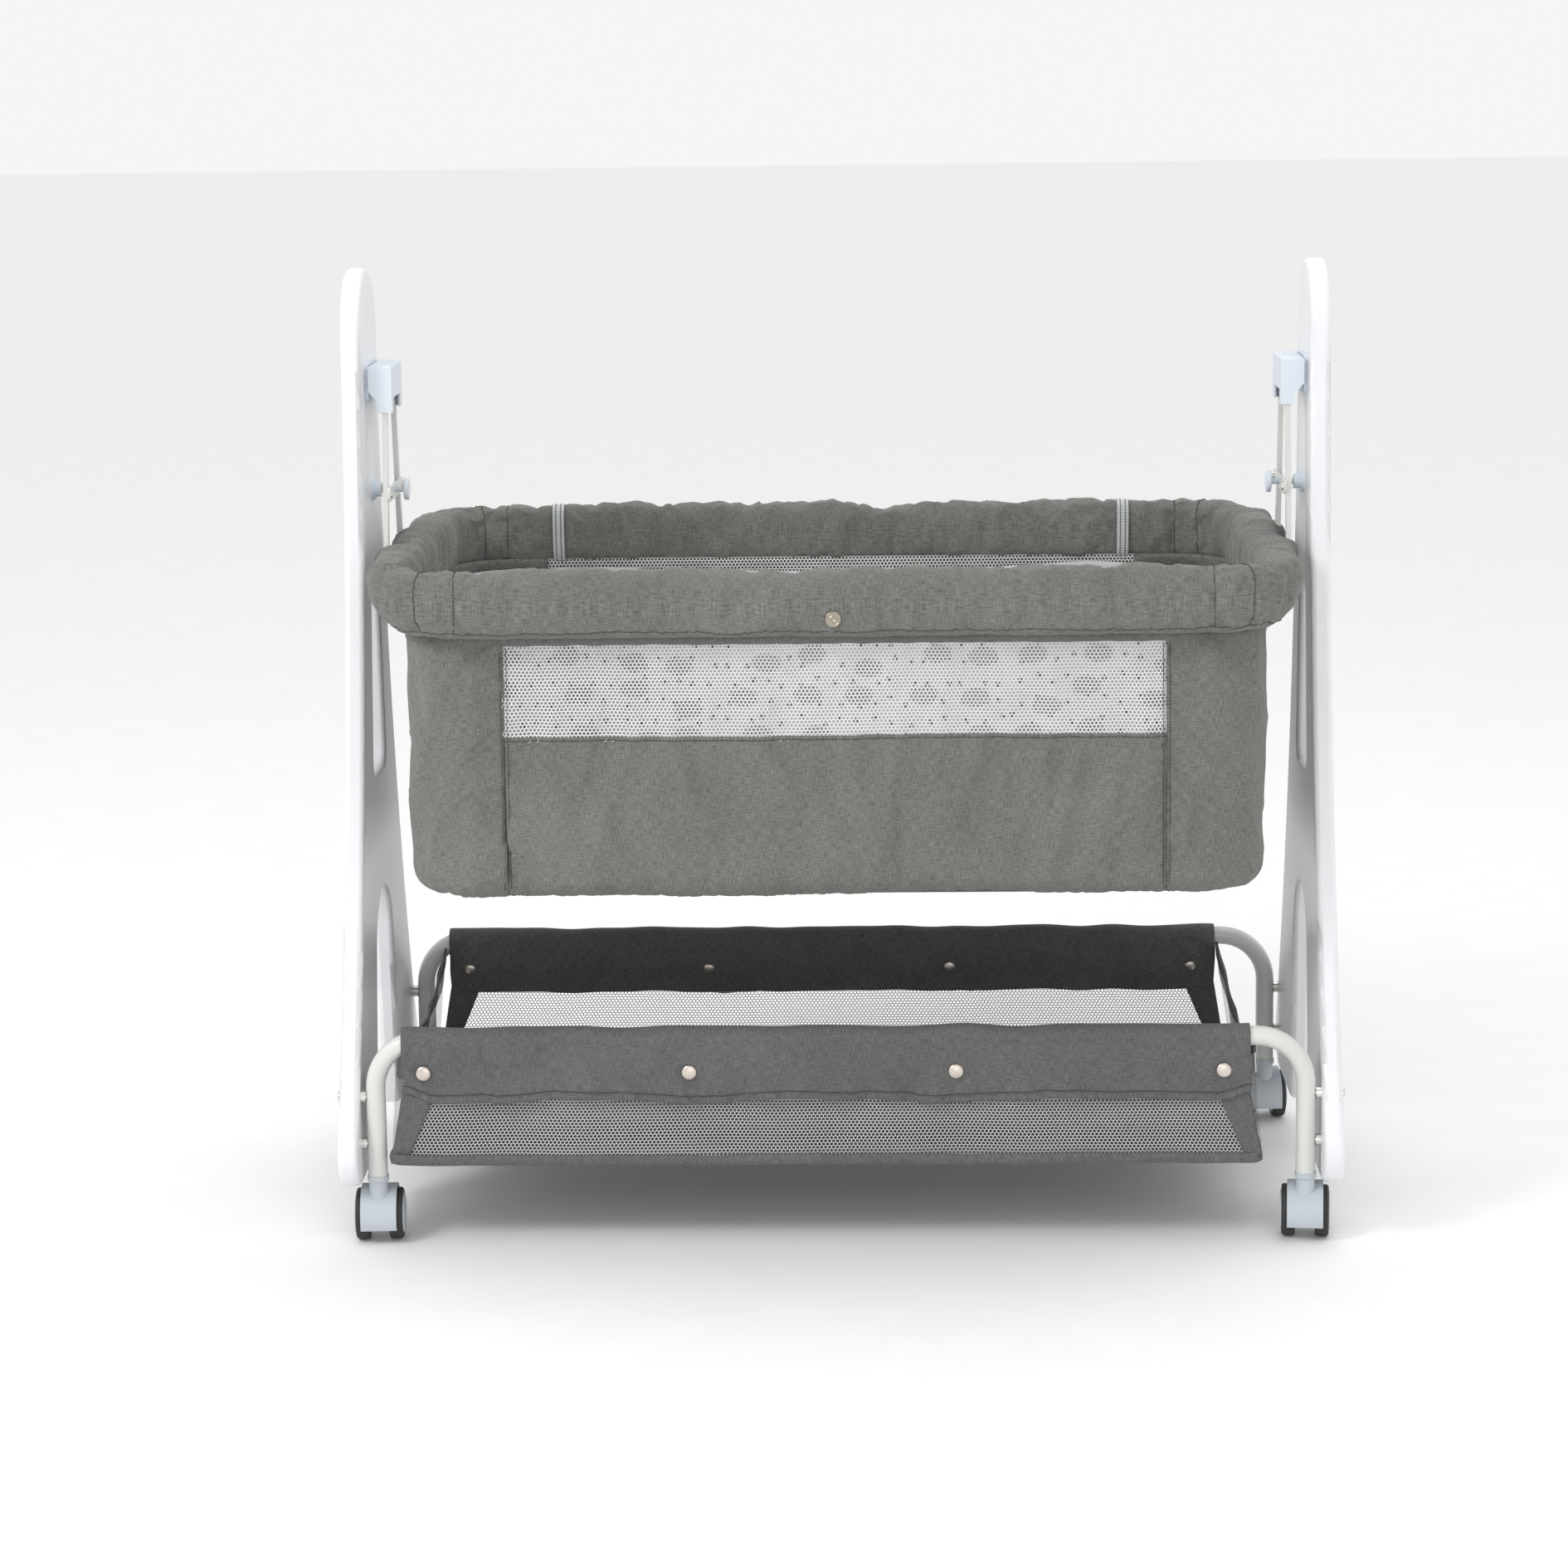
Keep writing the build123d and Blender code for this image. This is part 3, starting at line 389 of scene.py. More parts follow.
# ---- finishes -----------------------------------------------------------
class Graph:
    """A material's node tree with a short way to add to it."""

    def __init__(self, name: str, roughness: float, **sockets: float) -> None:
        """Starts a material.

        Args:
            name: the material's name.
            roughness: shader roughness.
            sockets: further shader sockets, with underscores for spaces.
        """
        self.material = bpy.data.materials.new(name)
        self.material.use_nodes = True
        self.tree = self.material.node_tree
        self.shader = self.tree.nodes["Principled BSDF"]
        self.shader.inputs["Roughness"].default_value = roughness
        for key, value in sockets.items():
            self.shader.inputs[key.replace("_", " ")].default_value = value

    def add(self, kind: str, **settings: object) -> bpy.types.Node:
        """Adds a node and sets its properties.

        Args:
            kind: the node type's name after ShaderNode.
            settings: properties by name.

        Returns:
            The node.
        """
        node = self.tree.nodes.new("ShaderNode" + kind)
        for key, value in settings.items():
            setattr(node, key, value)
        return node

    def wire(self, source: bpy.types.NodeSocket, target: bpy.types.NodeSocket) -> None:
        """Joins two sockets."""
        self.tree.links.new(source, target)

    def place(self, by_uv: bool, scale: Sequence[float]) -> bpy.types.NodeSocket:
        """Coordinates in metres times a scale, from the cloth map or the object.

        Args:
            by_uv: the cloth map if true, else the object.
            scale: factor along each axis.

        Returns:
            The vector.
        """
        if by_uv:
            start = self.add("UVMap", uv_map="weave").outputs["UV"]
        else:
            start = self.add("TexCoord").outputs["Object"]
        mapping = self.add("Mapping")
        mapping.inputs["Scale"].default_value = scale
        self.wire(start, mapping.inputs["Vector"])
        return mapping.outputs["Vector"]

    def noise(self, by_uv: bool, scale: Sequence[float], detail: float = 2.0) -> bpy.types.NodeSocket:
        """Noise of about one feature per unit of the scaled coordinates.

        Args:
            by_uv: the cloth map if true, else the object.
            scale: features per metre along each axis.
            detail: octaves.

        Returns:
            The noise, 0..1.
        """
        node = self.add("TexNoise")
        node.inputs["Scale"].default_value = 1.0
        node.inputs["Detail"].default_value = detail
        self.wire(self.place(by_uv, scale), node.inputs["Vector"])
        return node.outputs["Fac"]

    def math(self, operation: str, *values: object) -> bpy.types.NodeSocket:
        """A Math node on sockets or numbers.

        Args:
            operation: the node's operation.
            values: its inputs in order.

        Returns:
            The result.
        """
        node = self.add("Math", operation=operation)
        for slot, value in zip(node.inputs, values):
            if isinstance(value, (int, float)):
                slot.default_value = value
            else:
                self.wire(value, slot)
        return node.outputs[0]

    def ramp(self, value: bpy.types.NodeSocket, stops: Sequence[tuple[float, Sequence[float]]]
             ) -> bpy.types.NodeSocket:
        """Colour ramp through the given stops.

        Args:
            value: what drives the ramp.
            stops: positions and linear colours.

        Returns:
            The colour.
        """
        node = self.add("ValToRGB")
        elements = node.color_ramp.elements
        while len(elements) < len(stops):
            elements.new(0.5)
        for element, (where, colour) in zip(elements, stops):
            element.position = where
            element.color = (*colour, 1)
        self.wire(value, node.inputs["Fac"])
        return node.outputs["Color"]

    def blend(self, share: bpy.types.NodeSocket, low: object, high: object) -> bpy.types.NodeSocket:
        """Mix of two colours or colour sockets.

        Args:
            share: 0 for low, 1 for high.
            low: colour or socket.
            high: colour or socket.

        Returns:
            The colour.
        """
        node = self.add("Mix", data_type="RGBA")
        self.wire(share, node.inputs[0])
        for slot, value in ((node.inputs[6], low), (node.inputs[7], high)):
            if isinstance(value, bpy.types.NodeSocket):
                self.wire(value, slot)
            else:
                slot.default_value = (*value, 1)
        return node.outputs[2]

    def bump(self, height: bpy.types.NodeSocket, strength: float, distance: float) -> None:
        """Surface relief from a height.

        Args:
            height: the height.
            strength: 0..1.
            distance: depth of a height of one, in metres.
        """
        node = self.add("Bump")
        node.inputs["Strength"].default_value = strength
        node.inputs["Distance"].default_value = distance
        self.wire(height, node.inputs["Height"])
        self.wire(node.outputs["Normal"], self.shader.inputs["Normal"])

    def colour(self, socket: bpy.types.NodeSocket) -> None:
        """Sends a colour to the shader."""
        self.wire(socket, self.shader.inputs["Base Color"])


@dataclass(frozen=True)
class HeatherCloth:
    """Linen-look cloth with dark and pale yarns mixed in both directions."""

    name: str
    dark: tuple[float, float, float]
    pale: tuple[float, float, float]
    yarn: float = 0.85 * MM
    slub: float = 8 * MM

    def make(self) -> bpy.types.Material:
        """Makes the material, on the cloth's own coordinates.

        Returns:
            The material.
        """
        g = Graph(self.name, 0.93, Sheen_Weight=0.12, Sheen_Roughness=0.5, Specular_IOR_Level=0.2)
        across, along = 1 / self.yarn, 1 / self.slub
        warp = g.noise(True, (across, along, 1), 3)
        weft = g.noise(True, (along, across, 1), 3)
        fleck = g.noise(True, (650, 650, 1), 1)
        yarns = g.math("ADD", g.math("MULTIPLY", warp, 0.45), g.math("MULTIPLY", weft, 0.45))
        tone = g.math("ADD", yarns, g.math("MULTIPLY", fleck, 0.1))
        base = g.ramp(tone, [(0.38, self.dark), (0.62, self.pale)])
        cloud = g.noise(True, (9, 9, 1), 3)
        shade = g.ramp(cloud, [(0.3, (0.9, 0.9, 0.9)), (0.7, (1.06, 1.06, 1.06))])
        node = g.add("Mix", data_type="RGBA", blend_type="MULTIPLY")
        node.inputs[0].default_value = 1.0
        g.wire(base, node.inputs[6])
        g.wire(shade, node.inputs[7])
        g.colour(node.outputs[2])
        g.bump(tone, 0.35, 0.6 * MM)
        return g.material


@dataclass(frozen=True)
class PrintedCloth:
    """White cotton with a plain grey print of pebbles and dots; its white ground is painted darker, as
    painted shade inside the bassinet.
    """

    name: str = "printed_cotton"

    def spots(self, g: Graph, scale: tuple[float, float], low: float, high: float) -> bpy.types.NodeSocket:
        """Soft-edged spots on a loose lattice.

        Args:
            g: the graph.
            scale: spots per metre along and up the cloth.
            low: inner radius, in cells.
            high: outer radius, in cells.

        Returns:
            1 inside a spot and 0 outside.
        """
        cells = g.add("TexVoronoi", voronoi_dimensions="2D")
        cells.inputs["Scale"].default_value = 1.0
        cells.inputs["Randomness"].default_value = 0.55
        g.wire(g.place(True, (*scale, 1)), cells.inputs["Vector"])
        rough = g.math("MULTIPLY", g.noise(True, (170, 170, 1), 2), 0.16)
        edge = g.math("ADD", cells.outputs["Distance"], rough)
        fall = g.add("MapRange")
        fall.inputs["From Min"].default_value = low
        fall.inputs["From Max"].default_value = high
        fall.inputs["To Min"].default_value = 1.0
        fall.inputs["To Max"].default_value = 0.0
        g.wire(edge, fall.inputs["Value"])
        return fall.outputs[0]

    def make(self) -> bpy.types.Material:
        """Makes the material, on the cloth's own coordinates.

        Returns:
            The material.
        """
        g = Graph(self.name, 0.9, Sheen_Weight=0.1, Specular_IOR_Level=0.2)
        pebbles = self.spots(g, (16, 27), 0.30, 0.36)
        dots = self.spots(g, (52, 52), 0.20, 0.24)
        weave = g.noise(True, (900, 900, 1), 1)
        # Painted shade: the white ground sits at 0.50 to 0.56, well under the mattress's 0.80 white cotton,
        # so the liner looks shaded inside the bassinet; the fine weave flecks are real.
        white = g.ramp(weave, [(0.3, (0.50, 0.50, 0.50)), (0.7, (0.56, 0.56, 0.555))])
        printed = g.blend(dots, white, (0.13, 0.13, 0.135))
        printed = g.blend(pebbles, printed, (0.27, 0.27, 0.27))
        g.colour(printed)
        g.bump(weave, 0.2, 0.3 * MM)
        return g.material


@dataclass(frozen=True)
class Coating:
    """A plain hard or soft finish with slight mottling and fine relief.

    colour is linear; grain is the relief's size in metres and relief its depth.
    """

    name: str
    colour: tuple[float, float, float]
    roughness: float
    grain: float = 1.2 * MM
    relief: float = 0.05 * MM
    mottle: float = 0.05
    metallic: float = 0.0
    coat: float = 0.0

    def make(self) -> bpy.types.Material:
        """Makes the material, on object coordinates.

        Returns:
            The material.
        """
        g = Graph(self.name, self.roughness, Metallic=self.metallic, Coat_Weight=self.coat)
        g.shader.inputs["Coat Roughness"].default_value = 0.25
        cloud = g.noise(False, (14, 14, 14), 3)
        low = tuple(c * (1 - self.mottle) for c in self.colour)
        high = tuple(min(c * (1 + self.mottle), 1.0) for c in self.colour)
        g.colour(g.ramp(cloud, [(0.3, low), (0.7, high)]))
        fine = 1 / self.grain
        g.bump(g.noise(False, (fine, fine, fine), 2), 0.5, self.relief)
        return g.material


@dataclass(frozen=True)
class ZipTape:
    """Grey tape with a paler ridged chain down its middle."""

    name: str = "zip_tape"
    chain_x: float = 0.302
    chain_half: float = 6.0 * MM
    groove_off: float = 2.6 * MM
    groove_half: float = 0.7 * MM
    tooth_pitch: float = 2 * MM

    def make(self) -> bpy.types.Material:
        """Makes the material, on object coordinates.

        Returns:
            The material.
        """
        g = Graph(self.name, 0.6)
        parts = g.add("SeparateXYZ")
        g.wire(g.add("TexCoord").outputs["Object"], parts.inputs[0])
        off = g.math("ABSOLUTE", g.math("SUBTRACT", g.math("ABSOLUTE", parts.outputs["X"]), self.chain_x))
        chain = g.math("LESS_THAN", off, self.chain_half)
        from_groove = g.math("ABSOLUTE", g.math("SUBTRACT", off, self.groove_off))
        groove = g.math("LESS_THAN", from_groove, self.groove_half)
        teeth = g.math("SINE", g.math("MULTIPLY", parts.outputs["Z"], 2 * np.pi / self.tooth_pitch))
        pale = g.ramp(g.math("ADD", g.math("MULTIPLY", teeth, 0.5), 0.5),
                      [(0.1, (0.42, 0.43, 0.43)), (0.6, (0.62, 0.64, 0.65))])
        grooved = g.blend(groove, pale, (0.20, 0.20, 0.20))
        g.colour(g.blend(chain, (0.19, 0.19, 0.185), grooved))
        g.bump(g.math("MULTIPLY", chain, g.math("ADD", teeth, 2)), 0.6, 0.5 * MM)
        return g.material


class Finishes:
    """Every finish of the bassinet, made once."""

    def __init__(self) -> None:
        """Makes the materials."""
        self.body_cloth = HeatherCloth("body_cloth", (0.108, 0.108, 0.101), (0.222, 0.222, 0.208)).make()
        self.basket_cloth = HeatherCloth("basket_cloth", (0.085, 0.085, 0.084), (0.165, 0.165, 0.162)).make()
        self.binding = HeatherCloth("binding_cloth", (0.10, 0.10, 0.095), (0.19, 0.19, 0.18)).make()
        self.print = PrintedCloth().make()
        self.zip = ZipTape().make()

        def coat(name: str, colour: tuple[float, float, float], roughness: float, grain_mm: float,
                 relief_mm: float, mottle: float, **more: float) -> bpy.types.Material:
            """A coating with its grain and relief in millimetres."""
            return Coating(name, colour, roughness, grain_mm * MM, relief_mm * MM, mottle, **more).make()

        self.panel = coat("panel_paint", (0.80, 0.81, 0.83), 0.42, 2.6, 0.22, 0.02, coat=0.25)
        self.tube = coat("tube_paint", (0.66, 0.67, 0.64), 0.36, 2.0, 0.05, 0.03, coat=0.3)
        self.plastic = coat("pale_plastic", (0.68, 0.74, 0.81), 0.38, 0.8, 0.03, 0.02)
        self.caster = coat("caster_plastic", (0.50, 0.54, 0.58), 0.42, 0.8, 0.04, 0.03)
        self.tyre = coat("tyre_rubber", (0.028, 0.028, 0.027), 0.62, 0.9, 0.06, 0.15)
        self.steel = coat("bright_steel", (0.72, 0.70, 0.67), 0.24, 1.0, 0.02, 0.04, metallic=1.0)
        self.snap = coat("snap_nickel", (0.66, 0.60, 0.54), 0.33, 1.0, 0.03, 0.05, metallic=1.0)
        self.net = coat("net_yarn", (0.72, 0.72, 0.72), 0.75, 0.5, 0.1, 0.04)
        # Painted shade: the basket net is the same white net as the windows; its yarn is darkened from 0.72
        # to 0.50 for the shade under the bassinet.
        self.basket_net = coat("basket_net_yarn", (0.50, 0.50, 0.50), 0.75, 0.5, 0.1, 0.04)
        self.ring = coat("snap_ring", (0.36, 0.33, 0.27), 0.30, 1.0, 0.03, 0.1, metallic=1.0)
        self.cotton = coat("white_cotton", (0.80, 0.80, 0.79), 0.9, 0.6, 0.12, 0.03)
        self.thread = coat("dark_thread", (0.055, 0.055, 0.055), 0.8, 0.4, 0.05, 0.1)
        self.board = coat("floor_board", (0.45, 0.34, 0.22), 0.7, 1.0, 0.1, 0.1)

    def dress(self, piece: bpy.types.Object, material: bpy.types.Material, slot: str) -> None:
        """Gives a new piece its material.

        Args:
            piece: the piece.
            material: its finish.
            slot: the record's slot; not used.
        """
        piece.data.materials.clear()
        piece.data.materials.append(material)

    def dress_nodes(self, nodes: dict[str, bpy.types.Object]) -> None:
        """Gives every CAD node that stays in view a better material.

        Args:
            nodes: CAD node objects by name.
        """
        rules = (
            ("end_panel", self.panel), ("base_tube", self.tube), ("hanger_yoke", self.tube),
            ("lock_strap", self.tube), ("leg_", self.steel),
            ("pivot_bolts", self.steel), ("strap_bolts", self.steel), ("caster_stem", self.steel),
            ("pivot_plate", self.plastic), ("pivot_bush", self.plastic), ("lock_socket", self.plastic),
            ("hanger_cover", self.plastic), ("lock_knob", self.plastic), ("stem_socket", self.caster),
            ("caster_housing", self.caster), ("caster_wheels", self.caster), ("caster_tyres", self.tyre),
            ("zip_slider", self.zip),
        )
        for name, node in nodes.items():
            for start, material in rules:
                if name.startswith(start):
                    node.data.materials.clear()
                    node.data.materials.append(material)


# ---- padded rim ---------------------------------------------------------
@dataclass
class PaddedRim:
    """The gathered cloth sleeve round the rim ring, with its stitch lines and zip strips."""

    finishes: Finishes
    steps: tuple[int, int] = (660, 56)
    seam_places: tuple[float, float] = (0.356, 0.390)
    dip_x: float = 0.045
    tuck: float = 0.019
    zip_x: float = 0.302
    rod_y: float = 0.057
    ring_inset: tuple[float, float] = (0.0255, 0.019)
    corner: float = 0.066
    half_side: float = 0.0165
    half_more_at_end: float = 0.0045
    squareness: float = 0.62
    gather_x: float = 0.355
    cloth_round: float = 0.18
    snap_z: float = 0.626

    def __post_init__(self) -> None:
        """Reads the sleeve's sizes from the frame."""
        low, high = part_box("rim_sleeve")
        self.low_z, self.high_z = low.z, high.z
        self.middle = Loop(high.x - self.ring_inset[0], high.y - self.ring_inset[1], self.corner)

    def section(self, s: Array, turn: Array) -> tuple[Array, Array]:
        """Outward and upward offsets of the sleeve's skin.

        Formula: a superellipse, wider at the two ends than on the long sides. Its foot
        leans outwards on the long sides and is tucked under at the ends, where it swells
        over the hanger's rods. Gathers, broad folds and stitched grooves are added, and
        a dip with rucks on the rear side.

        Args:
            s: distance along the rim.
            turn: angle round the section, from the outside over the top.

        Returns:
            Outward and upward offsets.
        """
        point, normal = self.middle.walk(s)
        end = np.abs(normal[..., 0])
        half = self.half_side + self.half_more_at_end * end
        tall = (self.high_z - self.low_z) / 2
        c, q = np.cos(turn), np.sin(turn)
        out = half * np.sign(c) * np.abs(c) ** self.squareness
        rise = tall * np.sign(q) * np.abs(q) ** self.squareness
        skin = 1.0 - 0.55 * bell(q + 1, 0.5)
        gather = smooth((np.abs(point[..., 0]) - self.gather_x) / 0.05)
        pleat = 1.6 * np.abs(swell(s, turn * 0.005, 3, 0.028)) - 0.9
        pleat = pleat * (0.65 + 0.35 * swell(s, turn * 0.02, 5, 0.05))
        folds = swell(s * 0.8, s * 0.5 + turn * 0.016, 7, 0.055)
        fine = 0.8 - np.abs(swell(s, turn * 0.016, 11, 0.034))
        crest = smooth(q * 1.4 - 0.2) * (0.7 - np.abs(swell(s, turn * 0.004, 17, 0.030)))
        puff = 1.7 * gather * pleat + (1.3 - 0.4 * gather) * folds + 0.9 * fine + 1.2 * crest
        seam = sum(bell(np.abs(point[..., 0]) - at - 0.1 * rise, 2.2 * MM) for at in self.seam_places)
        near_seam = sum(bell(np.abs(point[..., 0]) - at, 14 * MM) for at in self.seam_places)
        puff = puff + 0.9 * near_seam * swell(s * 0.2, turn * 0.016, 13, 0.009) - 2.2 * seam
        tuck = smooth(0.30 - 0.75 * q) * smooth((c + 0.35) / 0.8)
        out = out - 0.09 * rise * (1 - end) - self.tuck * end * tuck
        rod = bell(np.abs(point[..., 1]) - self.rod_y, 17 * MM) * (end > 0.9)
        out = out + 9 * MM * rod * smooth(c) * smooth((q + 1) / 0.5)
        rear = smooth(point[..., 1] / 0.1)
        ruck = bell(point[..., 0] - self.dip_x, 0.055) * rear
        puff = puff + 1.6 * ruck * (np.abs(swell(s, turn * 0.006, 15, 0.022)) - 0.6)
        out = out + puff * MM * skin * (0.75 * c + 0.25 * np.sign(c))
        dip = bell(point[..., 0] - self.dip_x, 0.030) * rear * smooth(q)
        rise = rise + puff * MM * 0.8 * q * skin - 5.5 * MM * dip * (1 + 0.5 * folds)
        return out, rise

    def skin(self) -> bpy.types.Object:
        """The sleeve itself.

        Returns:
            The sleeve, settled.
        """
        n, m = self.steps
        s = np.arange(n) / n * self.middle.length
        turn = np.arange(m) / m * 2 * np.pi - np.pi / 2
        grid_s, grid_turn = np.meshgrid(s, turn, indexing="ij")
        out, rise = self.section(grid_s, grid_turn)
        point, normal = self.middle.walk(grid_s)
        plan = point + normal * out[..., None]
        middle_z = (self.low_z + self.high_z) / 2
        points = np.concatenate([plan, (middle_z + rise)[..., None]], -1)
        u = np.arange(n + 1) / n * self.middle.length
        v = np.arange(m + 1) / m * self.cloth_round
        sleeve = grid_piece("rim_sleeve_cloth", points, u, v, (True, True), flip=True)
        foot = smooth((-np.sin(grid_turn) - 0.80) / 0.15)
        seam = np.clip(sum(bell(np.abs(point[..., 0]) - at, 3 * MM) for at in self.seam_places), 0, 1)
        snap = bell(np.hypot(points[..., 0], points[..., 2] - self.snap_z), 0.014) * (points[..., 1] < 0)
        zips = bell(np.abs(points[..., 0]) - self.zip_x, 13 * MM) * (points[..., 1] > 0) * 1.4
        settle(sleeve, np.clip(foot + 0.9 * seam + snap + zips, 0, 1).ravel(), 0.05, 3.2 * MM)
        return sleeve

    def seam_lines(self, grid: Array) -> None:
        """Thread down every groove and round the foot of the sleeve.

        Args:
            grid: the sleeve's points.
        """
        n, m = self.steps
        s = np.arange(n) / n * self.middle.length
        point, normal = self.middle.walk(s)
        foot = grid[:, int(m * 0.13)]
        out = np.c_[normal, np.zeros(n)]
        rows = [("rim_foot_stitching", foot + out * 0.4 * MM, out)]
        for place in self.seam_places:
            for side in Side:
                for face in Face:
                    wrong_face = np.sign(point[:, 1]) != face.value
                    gap = np.hypot(point[:, 0] - side.value * place, 10 * wrong_face)
                    k = int(np.argmin(gap))
                    ring = grid[k]
                    away = ring - ring.mean(0)
                    away /= np.linalg.norm(away, axis=1, keepdims=True)
                    span = slice(int(m * 0.14), int(m * 0.9))
                    name = f"rim_seam_{side.name.lower()}_{face.name.lower()}_{int(place * 1000)}"
                    rows.append((name, (ring + away * 0.5 * MM)[span], away[span]))
        for name, path, away in rows:
            row = stitches(name, path, away)
            self.finishes.dress(row, self.finishes.thread, "grey_cloth")
            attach(row, "bassinet")

    def zip_strip(self, side: Side) -> None:
        """The zip where it crosses the sleeve's inner side, up to the crest.

        Args:
            side: left or right zip.
        """
        across = np.linspace(-6.5, 6.5, 15) * MM
        s = self.middle.length / 2 - side.value * self.zip_x + across
        turn = np.linspace(0.56, 1.40, 60) * np.pi
        grid_s, grid_turn = np.meshgrid(s, turn, indexing="ij")
        out, rise = self.section(grid_s, grid_turn)
        point, normal = self.middle.walk(grid_s)
        away = np.stack([np.cos(grid_turn), np.sin(grid_turn)], -1)
        proud = 1.5 * MM + 0.5 * MM * (np.abs(np.abs(across) - 2.6 * MM) < 1.0 * MM)[:, None]
        plan = point + normal * (out + away[..., 0] * proud)[..., None]
        z = (self.low_z + self.high_z) / 2 + rise + away[..., 1] * proud
        name = f"zip_strip_{side.name.lower()}"
        strip = grid_piece(name, np.concatenate([plan, z[..., None]], -1), across, turn * 0.03, flip=True)
        solidify(strip, 1.2 * MM)
        self.finishes.dress(strip, self.finishes.zip, "zip_grey")
        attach(strip, "bassinet")

    def build(self) -> None:
        """Makes the rim's pieces."""
        for side in Side:
            self.zip_strip(side)
        sleeve = self.skin()
        self.seam_lines(grid_points(sleeve, self.steps))
        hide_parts("rim_sleeve", "rim_tube")
        self.finishes.dress(sleeve, self.finishes.body_cloth, "grey_cloth")
        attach(sleeve, "bassinet")


# ---- bassinet body ------------------------------------------------------
@dataclass
class ClothBody:
    """Walls, binding, floor cloth, nets, liner, mattress, board, zip tapes and seams."""

    finishes: Finishes
    seam_x: float = 0.3145
    floor_round: float = 0.024
    zip_x: float = 0.302
    binding_drop: float = 0.010
    corner: float = 0.066
    grid_step: float = 4 * MM
    cloth: float = 2.2 * MM
    rise_into_sleeve: float = 6 * MM
    net_pitch: float = 3.8 * MM
    net_hole: float = 0.70
    liner_inset: float = 8.5 * MM

    def __post_init__(self) -> None:
        """Reads the body's sizes from the frame."""
        low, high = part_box("end_wrap_left")
        self.plan = Loop(-low.x, high.y, self.corner)
        self.floor_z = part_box("body_floor")[0].z - 3 * MM
        self.top_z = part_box("rim_binding")[1].z
        net_low, net_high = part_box("mesh_windows")
        self.window = (net_low.z, net_high.z)

    def wall(self, s: Array, drop: Array, puff: float = 1.0) -> Array:
        """Points of the outer skin, at a distance drop down the cloth from the rim.

        Formula: straight down, then a quarter circle under to the floor. The cloth
        bellies out a little between rim and floor, has shallow uneven folds and a groove
        at each seam, and lies calm beside the zips, where the sliders run.

        Args:
            s: distance round the body.
            drop: distance down the cloth from the binding's top.
            puff: strength of the folds.

        Returns:
            Points with a last axis of 3.
        """
        r = self.floor_round
        straight = self.top_z - self.floor_z - r
        angle = np.clip((drop - straight) / r, 0, np.pi / 2)
        z = self.top_z - np.minimum(drop, straight) - r * np.sin(angle)
        inward = r * (1 - np.cos(angle)) + np.maximum(drop - straight - r * np.pi / 2, 0)
        point, normal = self.plan.walk(s)
        height = (z - self.floor_z) / (self.top_z - self.floor_z)
        belly = 2.6 * MM * np.sin(np.pi * np.clip(height, 0, 1)) * np.abs(normal[..., 1])
        folds = swell(s * 1.1, z * 0.6, 31, 0.080) * 1.5 + swell(s, z * 0.45, 33, 0.036) * 0.5
        folds = folds + 2.3 * (0.7 - np.abs(swell(s + 0.5 * z, z * 0.7, 34, 0.075)))
        folds = folds + 2.0 * (0.7 - np.abs(swell(s - 0.2 * z, z * 0.25, 36, 0.060)))
        near_foot = bell(height - 0.02, 0.10) * swell(s, z * 0.2, 35, 0.018) * 0.8
        near_top = bell(height - 0.97, 0.10) * swell(s, z * 0.2, 37, 0.022) * 0.7
        seam = bell(np.abs(point[..., 0]) - self.seam_x, 2.4 * MM) * (np.abs(normal[..., 1]) > 0.9)
        beside = bell(np.abs(point[..., 0]) - self.seam_x, 16 * MM) * swell(z, s * 0.1, 39, 0.015) * 0.5
        relief = (folds + near_foot + near_top + beside) * puff - 1.8 * seam
        taper = 4 * MM * (1 - height) * np.abs(normal[..., 0])
        beside_zip = np.maximum(np.abs(np.abs(point[..., 0]) - self.zip_x) - 6 * MM, 0)
        calm = 1 - 0.97 * bell(beside_zip, 8 * MM) * (normal[..., 1] > 0.9)
        belly = belly * calm
        relief = relief * calm
        out = belly - taper + relief * MM * smooth((self.top_z - z) / 0.02 + 0.2) - inward
        plan = point + normal * out[..., None]
        sag = 1.2 * MM * swell(point[..., 0], point[..., 1], 41, 0.25) * (1 - height)
        return np.concatenate([plan, (z + sag)[..., None]], -1)

    def sheet(self, name: str, span: tuple[float, float], drops: tuple[float, float], node: str
              ) -> bpy.types.Object:
        """One cut of wall cloth between two seams.

        Args:
            name: the piece's name.
            span: distances round the body.
            drops: distances down the cloth.
            node: the CAD node it stands for.

        Returns:
            The piece.
        """
        count = tuple(int((end - start) / self.grid_step) + 2 for start, end in (span, drops))
        s = np.linspace(*span, count[0])
        d = np.linspace(*drops, count[1])
        points = self.wall(*np.meshgrid(s, d, indexing="ij"))
        piece = grid_piece(name, points, s, d, flip=True)
        edge = np.zeros(count)
        edge[0] = edge[-1] = edge[:, 0] = edge[:, -1] = 1
        edge[:, 1] = edge[:, -2] = np.maximum(edge[:, 1], 0.8)
        settle(piece, edge.ravel(), 0.035, 2.4 * MM)
        solidify(piece, self.cloth)
        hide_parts(node)
        self.finishes.dress(piece, self.finishes.body_cloth, "grey_cloth")
        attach(piece, "bassinet")
        return piece

